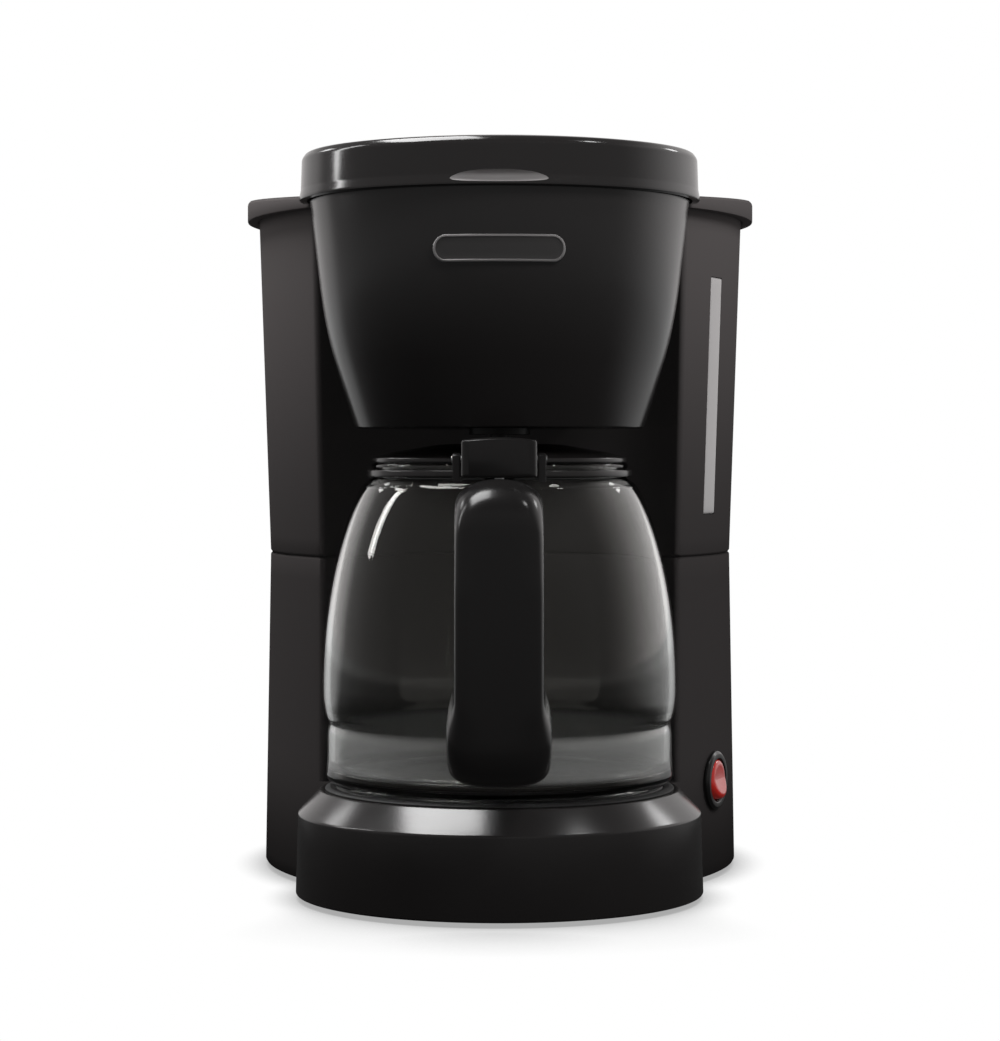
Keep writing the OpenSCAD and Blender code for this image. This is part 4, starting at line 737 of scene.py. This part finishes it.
def lid():
    t = LID_T
    low = [(LID_R - t, LID_Z, 0.4), (LID_R, LID_Z, 0.6), (LID_R, LID_Z + 0.9, 0.6),
           (LID_R - 0.5, LID_Z + 3.4, 3), (LID_R - 0.85, LID_EDGE - 2.6, 2.5),
           (LID_R - 2.1, LID_EDGE - 0.75, 1.8)]
    dome = [(LID_RIM * u, LID_EDGE - 0.55 + (LID_DOME - 0.05) * (1 - u ** 3))
            for u in np.linspace(0.98, 0, 28)]
    outer = fillet(low + [dome[0]], 0, 7, closed=False) + dome[1:]
    inner = [(0, LID_EDGE - t + 1.9), (LID_RIM - 12, LID_EDGE - t + 0.4),
             (LID_RIM - t, LID_EDGE - 0.6 - t), (LID_R - 1.7 - t, LID_EDGE - 1.2 - t),
             (LID_R - 0.5 - t, LID_Z + 2.2), (LID_R - t, LID_Z + 1.2)]
    disc = revolve("disc", outer + inner, "lid_black", 256)
    under, start = LID_Z - 4, 7.5
    fall = SLOPE * (SLOPE_Y - start)
    boolean(disc, loft("over_deck", [
        [(x, start, under), (x, start, OVER_DECK - fall), (x, SLOPE_Y, OVER_DECK),
         (x, 90, OVER_DECK), (x, 90, under)] for x in (-90, 90)], None))

    def ring(inset, z):
        """The tongue's outline at height z, moved in by inset."""
        depth = TONGUE_Y - inset
        return [(x, y, z) for x, y in rounded_rect(2 * (TONGUE_W - inset), depth,
                                                   max(2.0, 10 - inset), 0, depth / 2, 8)]

    boolean(disc, loft("hollow", [ring(t, z) for z in (under, LID_EDGE - t)], None))
    boolean(disc, finger_scoop())
    tongue = loft("tongue", [ring(inset, z) for inset, z in (
        (t, LID_EDGE - t), (t, OVER_DECK + 0.2), (t - 0.3, OVER_DECK), (0.5, OVER_DECK),
        (0.1, OVER_DECK + 0.15), (0, OVER_DECK + 0.5), (0, LID_EDGE - 1.6),
        (0.22, LID_EDGE - 0.75), (0.75, LID_EDGE - 0.2), (1.5, LID_EDGE))], "lid_black")
    core_r = LID_RIM - 3.2
    boolean(tongue, revolve("core", [(0, LID_Z), (core_r, LID_Z), (core_r, LID_EDGE - t),
                                     (0, LID_EDGE - t)], None, 128, closed=False))
    return join("lid_cover", disc, tongue, *[knuckle(x0, x1) for x0, x1 in both_sides(10, 21.7)])


def knuckle(x0, x1):
    """A hinge barrel of the lid on a foot that runs forward to the tongue."""
    r, front = 3.8, 129.8
    out = [(front, HINGE_Z - 1), (HINGE_Y - r * 0.96, HINGE_Z - 1)]
    out += arc(r, math.radians(-165), math.radians(90), 24, HINGE_Y, HINGE_Z, end=True)
    out.append((front, HINGE_Z + r))
    return upright("knuckle", out, HINGE_Y, HINGE_Z, 1.6, x0, x1, 0.35, "lid_black")


def finger_scoop():
    """Cutter for the crescent above the lip of the lid, whose pale material on the cut faces is a
    painted highlight.
    """
    r, low, z, k = 3.0, 1.27, LID_Z + 2.2, 32
    y = -(LID_R - 1.2 - 0.85 + r)
    pts = [(y - 6, z - low)]
    for i in range(k + 1):
        a = math.radians(-86 + 240 * i / k)
        pts.append((y + r * math.cos(a), z + (r if a > 0 else low) * math.sin(a)))
    pts.append((y - 6, z + r))
    return loft("scoop", [[(x, a, b) for a, b in pts] for x in (-40, 40)], "scoop_painted_highlight")


# ------------------------------------------------------------------ carafe

GROOVE_Z, BAND_R, CARAFE_R = 57.7, 56.8, 58.4
BULGE_Z, SHOULDER_Z, NECK_R, GLASS_T = GROOVE_Z + 11, RIM_Z - 6, 41.4, 2.2


def glass_outline(g, n=70):
    """The glass from its foot up to its neck, moved in by g."""
    pts = arc(4, -math.pi / 2, 0, 12, BAND_R - 3.4, GLASS_Z + 4)
    # the waist groove between the straight band and the bulge
    pts += [(BAND_R + 0.3, GLASS_Z + 5.4), (BAND_R, GLASS_Z + 8.5), (BAND_R - 0.05, GROOVE_Z - 3.5),
            (BAND_R - 0.35, GROOVE_Z - 1.2), (BAND_R - 0.5, GROOVE_Z + 0.3),
            (BAND_R + 0.1, GROOVE_Z + 1.7), (BAND_R + 0.75, GROOVE_Z + 3.2),
            (CARAFE_R - 0.42, GROOVE_Z + 5.6), (CARAFE_R - 0.1, GROOVE_Z + 8.2),
            (CARAFE_R, BULGE_Z)]
    for i in range(1, n + 1):
        t = math.sin(math.pi / 2 * i / (n + 1.2))
        if t > 0.978:
            break
        pts.append((44.0 + 14.4 * (1 - t * t) ** 0.77, lerp(BULGE_Z, SHOULDER_Z, t)))
    pts += [(44.1, SHOULDER_Z - 0.3), (43.0, SHOULDER_Z + 0.5), (42.0, SHOULDER_Z + 1.0),
            (NECK_R, SHOULDER_Z + 1.9)]
    return [(r - g, z) for r, z in pts]


def smooth_line(pts, k=3):
    """Catmull-Rom through the points."""
    out = []
    p = [np.array(q, float) for q in pts]
    for i in range(len(p) - 1):
        a, b, c, d = p[max(0, i - 1)], p[i], p[i + 1], p[min(len(p) - 1, i + 2)]
        for j in range(k):
            t = j / k
            out.append(tuple(0.5 * (2 * b + (c - a) * t + (2 * a - 5 * b + 4 * c - d) * t * t
                                    + (3 * b - a - 3 * c + d) * t ** 3)))
    out.append(tuple(p[-1]))
    return out


def carafe_glass():
    outer = smooth_line(glass_outline(0), 2)
    rim = [(NECK_R + dr, RIM_Z - dz) for dr, dz in (
        (0, 2.2), (0.45, 1.9), (0.9, 1.2), (0.75, 0.45), (0.1, 0.05), (-1.1, 0), (-1.9, 0.25),
        (-GLASS_T, 1.0))]
    inner = [q for q in smooth_line(glass_outline(GLASS_T), 2) if q[1] > GLASS_Z + 5.5]
    floor = [(BAND_R - GLASS_T - 1.2, GLASS_Z + 4.6), (BAND_R - GLASS_T - 3, GLASS_Z + 3.7),
             (BAND_R - 12, GLASS_Z + 3.6), (20, GLASS_Z + 3.9), (0, GLASS_Z + 3.9)]
    under = [(0, GLASS_Z + 1.3), (BAND_R - 12, GLASS_Z + 1.2), (BAND_R - 10.2, GLASS_Z + 0.7),
             (BAND_R - 8.6, GLASS_Z + 0.05)]
    return revolve("carafe_bowl", under + outer + smooth_line(rim, 3) + inner[::-1] + floor,
                   "glass_clear", 288, closed=False, angle=50)


def carafe_band():
    z0, z1 = SHOULDER_Z + 1.5, RIM_Z - 2.1
    prof = fillet([(NECK_R + 0.1, z0), (NECK_R + 2.2, z0), (NECK_R + 2.2, z1), (NECK_R + 0.1, z1)],
                  0.5, 5)
    band = revolve("band", prof, "housing_black", 192)
    lug = plate("lug", [rounded_rect(12, 10, 2.5, 0, -NECK_R - 5), circle(1.6, 32, 0, -47.9)],
                z0, z1, 0.4, "housing_black")
    return join("neck_band", band, lug)


def handle():
    """A grip swept between its outer and inner side lines."""
    def line(a, b, n):
        return [(lerp(a[0], b[0], i / n), lerp(a[1], b[1], i / n)) for i in range(n)]

    def side_line(y, z, out, low, r_top, r_low):
        """From (y, z) out to the grip at out, down it, and back in at the height low."""
        quarter, end = math.pi / 2, (59.0, low)
        return (line((y, z), (out - r_top, z), 10)
                + arc(r_top, quarter, 0, 18, out - r_top, z - r_top)
                + line((out, z - r_top), (out, low + r_low), 22)
                + arc(r_low, 0, -quarter, 14, out - r_low, low + r_low)
                + line((out - r_low, low), end, 12) + [end])

    loops = []
    sides = zip(side_line(45.4, 138.5, 96, 45.7, 14, 12), side_line(51.6, 123.0, 79, 65.7, 12, 8))
    for i, (o, q) in enumerate(sides):
        o, q = np.array(o), np.array(q)
        c, a = (o + q) / 2, (o - q) / 2
        # wider at the foot, and softly crowned down to the middle of the grip
        low = max(0.0, min(1.0, (76 - c[1]) / 12))
        low = low * low * (3 - 2 * low)
        crown = max(0.0, min(1.0, (34 - i) / 20))
        w, p = lerp(13.5, 15.9, low), lerp(0.34 + 0.62 * crown, 0.62, low)
        ring = []
        for ct, st in circle(1, 72):
            y, z = c + a * math.copysign(abs(ct) ** p, ct)
            ring.append((w * math.copysign(abs(st) ** p, st), -y, z))
        loops.append(ring)
    grip = loft("grip", loops, "handle_black", angle=40)
    ears = [ear("e", x0, x1, -53.9, 144.6, 2.0, 137.5, "handle_black", 1.25, 0.35)
            for x0, x1 in both_sides(12.0, 14.6)]
    grip = join("carafe_grip", grip, *ears, angle=40)
    grip.visible_glossy = False
    return grip


def carafe_lid():
    top, inn = CARAFE_LID_Z, NECK_R - GLASS_T
    prof = [(8.4, top - 4.6, 0.3), (29.4, RIM_Z + 1.2, 2), (inn - 2.4, RIM_Z + 0.2, 0.5),
            (inn - 2.4, RIM_Z - 4, 0.4), (inn - 0.4, RIM_Z - 4, 0.6), (inn - 0.4, RIM_Z + 0.2, 0.2),
            (NECK_R + 0.6, RIM_Z + 0.2, 0.4), (NECK_R + 0.6, RIM_Z + 1.8, 0.6),
            (NECK_R - 6, RIM_Z + 3.6, 6), (21.4, top - 0.4, 8), (16.4, top, 2),
            (10.4, top - 0.6, 0.8), (8.4, top - 1.6, 0.5)]
    parts = [revolve("lid_top", fillet(prof, 0, 6), "housing_black", 192)]
    parts.append(revolve("hub", fillet([(0, top - 4.4), (3.8, top - 4.4, 0.4), (3.8, top, 0.6),
                                        (0, top)], 0, 4, closed=False),
                         "housing_black", 48, closed=False))
    for a in (30, 150, 270):
        rib = solid_box("rib", (3.2, -0.9, top - 4.4), (9.0, 0.9, top - 1.8), "housing_black", 0.3,
                        2, axis=False)
        rib.data.transform(Matrix.Translation((0, AXIS_Y * MM, 0)) @ Matrix.Rotation(
            math.radians(a), 4, "Z"))
        parts.append(rib)
    return join("carafe_cover", *parts, thumb_block())


def thumb_block():
    """Arched block over the top of the handle, with rounded edges."""
    half, zt, arch_r = 11.8, CARAFE_LID_Z + 2, 80
    y0, y1, front_low, back_low = -61.9, -40.2, 138.9, RIM_Z - 0.4
    top = [(x, zt - arch_r + math.sqrt(arch_r ** 2 - x ** 2)) for x in np.linspace(half, -half, 17)]

    def shape(low):
        return fillet([(-half, low, 0.8), (half, low, 0.8), (half, top[0][1], 1.6)] + top[1:-1]
                      + [(-half, top[-1][1], 1.6)], 0, 6)

    # rows of (y, inset at the sides, inset above and below, lower edge)
    rows = [(y0 + dy, ix, iz, front_low) for dy, ix, iz in (
        (0, 2.2, 0.8), (0.25, 1.5, 0.45), (0.7, 0.8, 0.2), (1.4, 0.3, 0.05), (2.4, 0, 0))]
    rows += [(-53.2, 0, 0, front_low), (-52.9, 0, 0, back_low)]
    rows += [(y, 0, 0, back_low) for y in np.linspace(-51, y1 - 1, 6)] + [(y1, 0.3, 0.3, back_low)]
    loops = []
    for y, ix, iz, low in rows:
        zm = (low + zt) / 2
        loops.append([(x * (1 - ix / half), y, zm + (z - zm) * (1 - iz / ((zt - low) / 2)))
                      for x, z in shape(low)])
    return loft("thumb", loops, "handle_black", angle=40)


# ------------------------------------------------------------------ switch

def switch_body():
    prof = fillet([(0, -12.4), (8.6, -12.4, 0.3), (8.6, 0, 0.05), (BEZEL_R, 0, 0.2),
                   (BEZEL_R, 0.9, 0.5), (9.2, 1.7, 0.5), (7.5, 1.7, 0.45), (7.1, 0.8, 0.4),
                   (7.1, -8.9, 0.2), (0, -8.9)], 0, 5, closed=False)
    o = revolve("switch_bezel", prof, "switch_black", 128, closed=False, axis=False)
    return place_on_switch(o)


def rocker():
    """A round rocker whose two faces meet in a shallow valley."""
    r, steps, tilt = 6.8, 96, math.radians(9)

    def height(x):
        return 3.9 + math.sqrt((x * math.tan(tilt)) ** 2 + 0.02)

    loops = [[(x, y, z) for x, y in circle(rad, steps)]
             for rad, z in ((r - 0.6, -2.5), (r, -2.0), (r, 0.0))]
    top = [(r - 0.1, -1.4), (r - 0.35, -0.8), (r - 0.8, -0.35), (r - 1.4, -0.1), (r - 2.0, 0.0)]
    top += [(rad, -0.12 * (1 - (rad / 5.0) ** 2)) for rad in (4.3, 3.6, 2.8, 1.8, 0.8, 0.1)]
    loops += [[(x, y, height(x) + d) for x, y in circle(rad, steps)] for rad, d in top]
    cap = loft("rocker_cap", loops, "lens_red", angle=50, axis=False)
    pin = revolve("pin", [(0, -7.5), (0.9, -7.5), (1.1, -7.3), (1.1, 7.3), (0.9, 7.5), (0, 7.5)],
                  "lens_red", 32, closed=False, axis=False)
    pin.data.transform(Matrix.Rotation(math.radians(90), 4, "X"))
    o = join("rocker_cap", cap, pin, angle=50)
    o.data.transform(Matrix.Translation((0, 0, -1.8 * MM)) @ Matrix.Rotation(-tilt, 4, "Y"))
    return place_on_switch(o)


# ------------------------------------------------------------------ small visible pieces

def warming_plate():
    r = 54.0
    prof = fillet([(0, PLATE_Z - 1.2), (r - 1.2, PLATE_Z - 1.2, 0.8), (r - 1.2, PLATE_Z - 2.6, 0.2),
                   (r, PLATE_Z - 2.6, 0.2), (r, PLATE_Z, 1.1), (r - 8, PLATE_Z, 2),
                   (r - 9, PLATE_Z - 0.25, 2), (0, PLATE_Z - 0.25)], 0, 6, closed=False)
    return revolve("hot_plate", prof, "plate_coating", 192, closed=False)


def gasket():
    z = BASE_Z
    prof = fillet([(54.1, z - 3.2), (57.5, z - 3.2), (57.5, z - 2.45), (55.95, z - 2.45),
                   (55.95, z + 0.05), (57.6, z + 0.05, 0.2), (57.5, z + 0.5, 0.25),
                   (56.0, z + 0.9, 0.3), (54.1, z + 0.9, 0.4)], 0.05, 4)
    return revolve("plate_seal", prof, "rubber_black", 192)


def feet():
    prof = fillet([(0, 0.5), (3.0, 0.5, 0.3), (3.4, 0, 0.3), (6.2, 0, 0.6), (7.0, 0.8, 0.4),
                   (7.0, 1.55, 0.1), (2.4, 1.55, 0.1), (2.4, 4.6, 0.1), (0, 4.6)], 0, 4,
                  closed=False)
    parts = []
    for x, y in ((-40, -36), (40, -36), (-CORNER_X, CORNER_Y - 14), (CORNER_X, CORNER_Y - 14)):
        o = revolve("foot", prof, "rubber_black", 64, closed=False, axis=False)
        o.data.transform(Matrix.Translation((x * MM, (y + AXIS_Y) * MM, 0)))
        parts.append(o)
    return join("feet", *parts)


SPRING_LOW, SPRING_HIGH, VALVE_TRAVEL = 156.2, 164.25, 3.0


def valve_spring():
    """The drip valve's coil, drawn at one length; the real one shortens as the valve is lifted."""
    r, wire, turns, n = 4.6, 0.35, 4, 160
    low, high = SPRING_LOW + wire, SPRING_HIGH - wire
    loops = []
    for i, (ca, sa) in enumerate(arc(1, 0, 2 * math.pi * turns, n, end=True)):
        z = lerp(low, high, i / n)
        loops.append([((r + x) * ca, (r + x) * sa, z + y) for x, y in circle(wire, 10)])
    return loft("valve_coil", loops, "steel", angle=60)


# ------------------------------------------------------------------ assembly

def show(o, node, body):
    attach(o, body)
    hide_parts(node)
    return o


show(base_housing(), "base_shell", "machine")
show(tank(), "tank_shell", "machine")
show(window(), "level_window", "machine")
show(deck(), "top_deck", "machine")
show(brew_head(), "brew_head", "machine")
show(name_plate(), "nameplate", "machine")
show(lid(), "lid_shell", "lid")
show(carafe_glass(), "carafe_glass", "carafe")
show(carafe_band(), "carafe_band", "carafe")
show(handle(), "carafe_handle", "carafe")
show(carafe_lid(), "carafe_lid", "carafe")
show(switch_body(), "switch_housing", "machine")
show(rocker(), "switch_rocker", "rocker")
show(warming_plate(), "warming_plate", "machine")
show(gasket(), "plate_gasket", "machine")
show(feet(), "rubber_feet", "machine")
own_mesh(show(valve_spring(), "valve_spring", "machine"))

NODE_ANGLE = 28
for name, o in nodes.items():
    o.data.materials.clear()
    o.data.materials.append(MAT[SLOT_OF[name]])
    shade(o, NODE_ANGLE)


# ------------------------------------------------------------------ stage, lights, camera

def back_glow(nt, x, y):
    """Brightness of the pale rear of the room for a horizontal bearing."""
    left = calc(nt, "ADD", ramp(nt, y, 0.1, 0.5, 0.0, 0.04), ramp(nt, y, 0.5, 0.66, 0.0, 0.42))
    right = calc(nt, "MULTIPLY", ramp(nt, y, -0.3, 0.5, 0.0, 0.75),
                 ramp(nt, y, 0.6, 1.0, 1.0, 0.6))
    return add(nt, "Mix", {"Factor": ramp(nt, x, -0.1, 0.1, 0.0, 1.0), "A": left,
                           "B": right}).outputs["Result"]


def to_camera(nt, seen, other, out):
    """Links seen to the output for the camera's own rays, and other for all the rest."""
    ray = add(nt, "LightPath").outputs["Is Camera Ray"]
    mix = add(nt, "MixShader", {0: ray, 1: other.outputs[0], 2: seen.outputs[0]})
    feed(out, "Surface", mix.outputs["Shader"])


def floor_material():
    """White to the camera, with a painted shadow where the object stands close, and nearly black in
    reflections.
    """
    m = bpy.data.materials.new("floor_white")
    m.use_nodes = True
    nt = m.node_tree
    nt.nodes.clear()
    place = add(nt, "TexCoord").outputs["Object"]
    # painted contact shadow: ambient occlusion near the object darkens the floor's emission, over a
    # longer reach in front
    reach = ramp(nt, xyz(nt, place)[1], -0.12, -0.05, 0.055, 0.012)
    ao = add(nt, "AmbientOcclusion", {"Distance": reach}, samples=8).outputs["AO"]
    seen = add(nt, "Emission", {"Strength": ramp(nt, ao, 0.3, 0.98, 0.4, 1.0, False)})
    far = add(nt, "VectorMath", {0: place}, operation="LENGTH").outputs["Value"]
    ahead = calc(nt, "ADD", ramp(nt, far, 0.2, 1.2, 0.03, 0.13), ramp(nt, far, 1.2, 2.5, 0.0, 0.2))
    bearing = add(nt, "VectorMath", {0: place}, operation="NORMALIZE").outputs["Vector"]
    x, y = xyz(nt, bearing)[:2]
    light_falloff = calc(nt, "MULTIPLY", ramp(nt, far, 0.25, 0.5, 0.0, 0.8),
                ramp(nt, x, -0.1, 0.1, 1.0, 0.65))
    behind = calc(nt, "MULTIPLY", back_glow(nt, x, y), light_falloff)
    dark = add(nt, "Emission", {"Strength": calc(nt, "ADD", ahead, behind)})
    to_camera(nt, seen, dark, add(nt, "OutputMaterial"))
    return m


def make_floor():
    half = 6000
    corners = [(x * half, y * half, 0) for x, y in ((-1, -1), (1, -1), (1, 1), (-1, 1))]
    o = new_object("floor", corners, [(0, 1, 2, 3)], None, axis=False)
    o.data.materials.append(floor_material())


make_floor()


def make_world():
    """White to the camera; to everything else a dark room whose rear wall is pale."""
    world = bpy.data.worlds.new("world")
    scene.world = world
    world.use_nodes = True
    nt = world.node_tree
    x, y, z = xyz(nt, add(nt, "TexCoord").outputs["Generated"])
    ahead = ramp(nt, z, 0.5, 0.85, 0.28, 0.1)
    low = calc(nt, "MAXIMUM", ramp(nt, x, -0.1, 0.1, 0.0, 1.0), ramp(nt, z, 0.25, 0.5, 1.0, 0.15))
    low = calc(nt, "MULTIPLY", ramp(nt, z, 0.45, 0.8, 1.0, 0.1), low)
    back = calc(nt, "MULTIPLY", back_glow(nt, x, y), low)
    room = nt.nodes["Background"]
    feed(room, "Color", (1, 0.97, 0.965, 1))
    feed(room, "Strength", calc(nt, "ADD", back, ahead))
    white = add(nt, "Background", {"Color": (1, 1, 1, 1)})
    to_camera(nt, white, room, nt.nodes["World Output"])


make_world()


def area(name, at, look, w, h, glow, roll=0, mirrored=True):
    """A panel of w by h metres whose face has the brightness glow."""
    d = bpy.data.lights.new(name, "AREA")
    d.shape = "RECTANGLE"
    d.size, d.size_y = w, h
    d.energy = glow * math.pi * w * h
    o = bpy.data.objects.new(name, d)
    scene.collection.objects.link(o)
    o.location = at
    turn = (Vector(look) - Vector(at)).to_track_quat("-Z", "Y").to_matrix()
    o.rotation_euler = (turn @ Matrix.Rotation(math.radians(roll), 3, "Z")).to_euler()
    o.visible_glossy = o.visible_transmission = mirrored


# its local Y lies along the world's X
area("overhead", (-0.37, -0.04, 1.05), (-0.335, -0.04, 0), 0.55, 0.53, 14.5)
area("overhead_small", (0.5, -0.2, 0.9), (0, 0, 0.14), 0.1, 0.1, 20)
area("strip_left", (-0.98, 0.2, 0.66), (0, 0, 0.25), 0.09, 0.62, 11, roll=-9)
area("rear_left", (-0.95, 0.72, 0.8), (0, 0, 0.15), 0.2, 0.2, 7)
area("rear_right", (0.95, 0.72, 0.8), (0, 0, 0.15), 0.2, 0.2, 7)
area("fill_right", (0.7, -0.9, 1.0), (0, 0, 0.15), 0.5, 0.5, 12.5, mirrored=False)

CAMERA_AT, CAMERA_LENS, SENSOR = (0.002, -0.996, 0.1475), 101.7, 36
CAMERA_DOWN, CAMERA_TURN = math.radians(1.373), math.radians(0.11)

cam_data = bpy.data.cameras.new("camera")
cam = bpy.data.objects.new("camera", cam_data)
scene.collection.objects.link(cam)
scene.camera = cam
cam_data.lens = CAMERA_LENS
cam_data.sensor_width = SENSOR
cam.location = CAMERA_AT
cam.rotation_euler = (math.pi / 2 - CAMERA_DOWN, 0, CAMERA_TURN)
cam_data.clip_start = 0.01
cam_data.clip_end = 50

scene.view_settings.view_transform = "Standard"
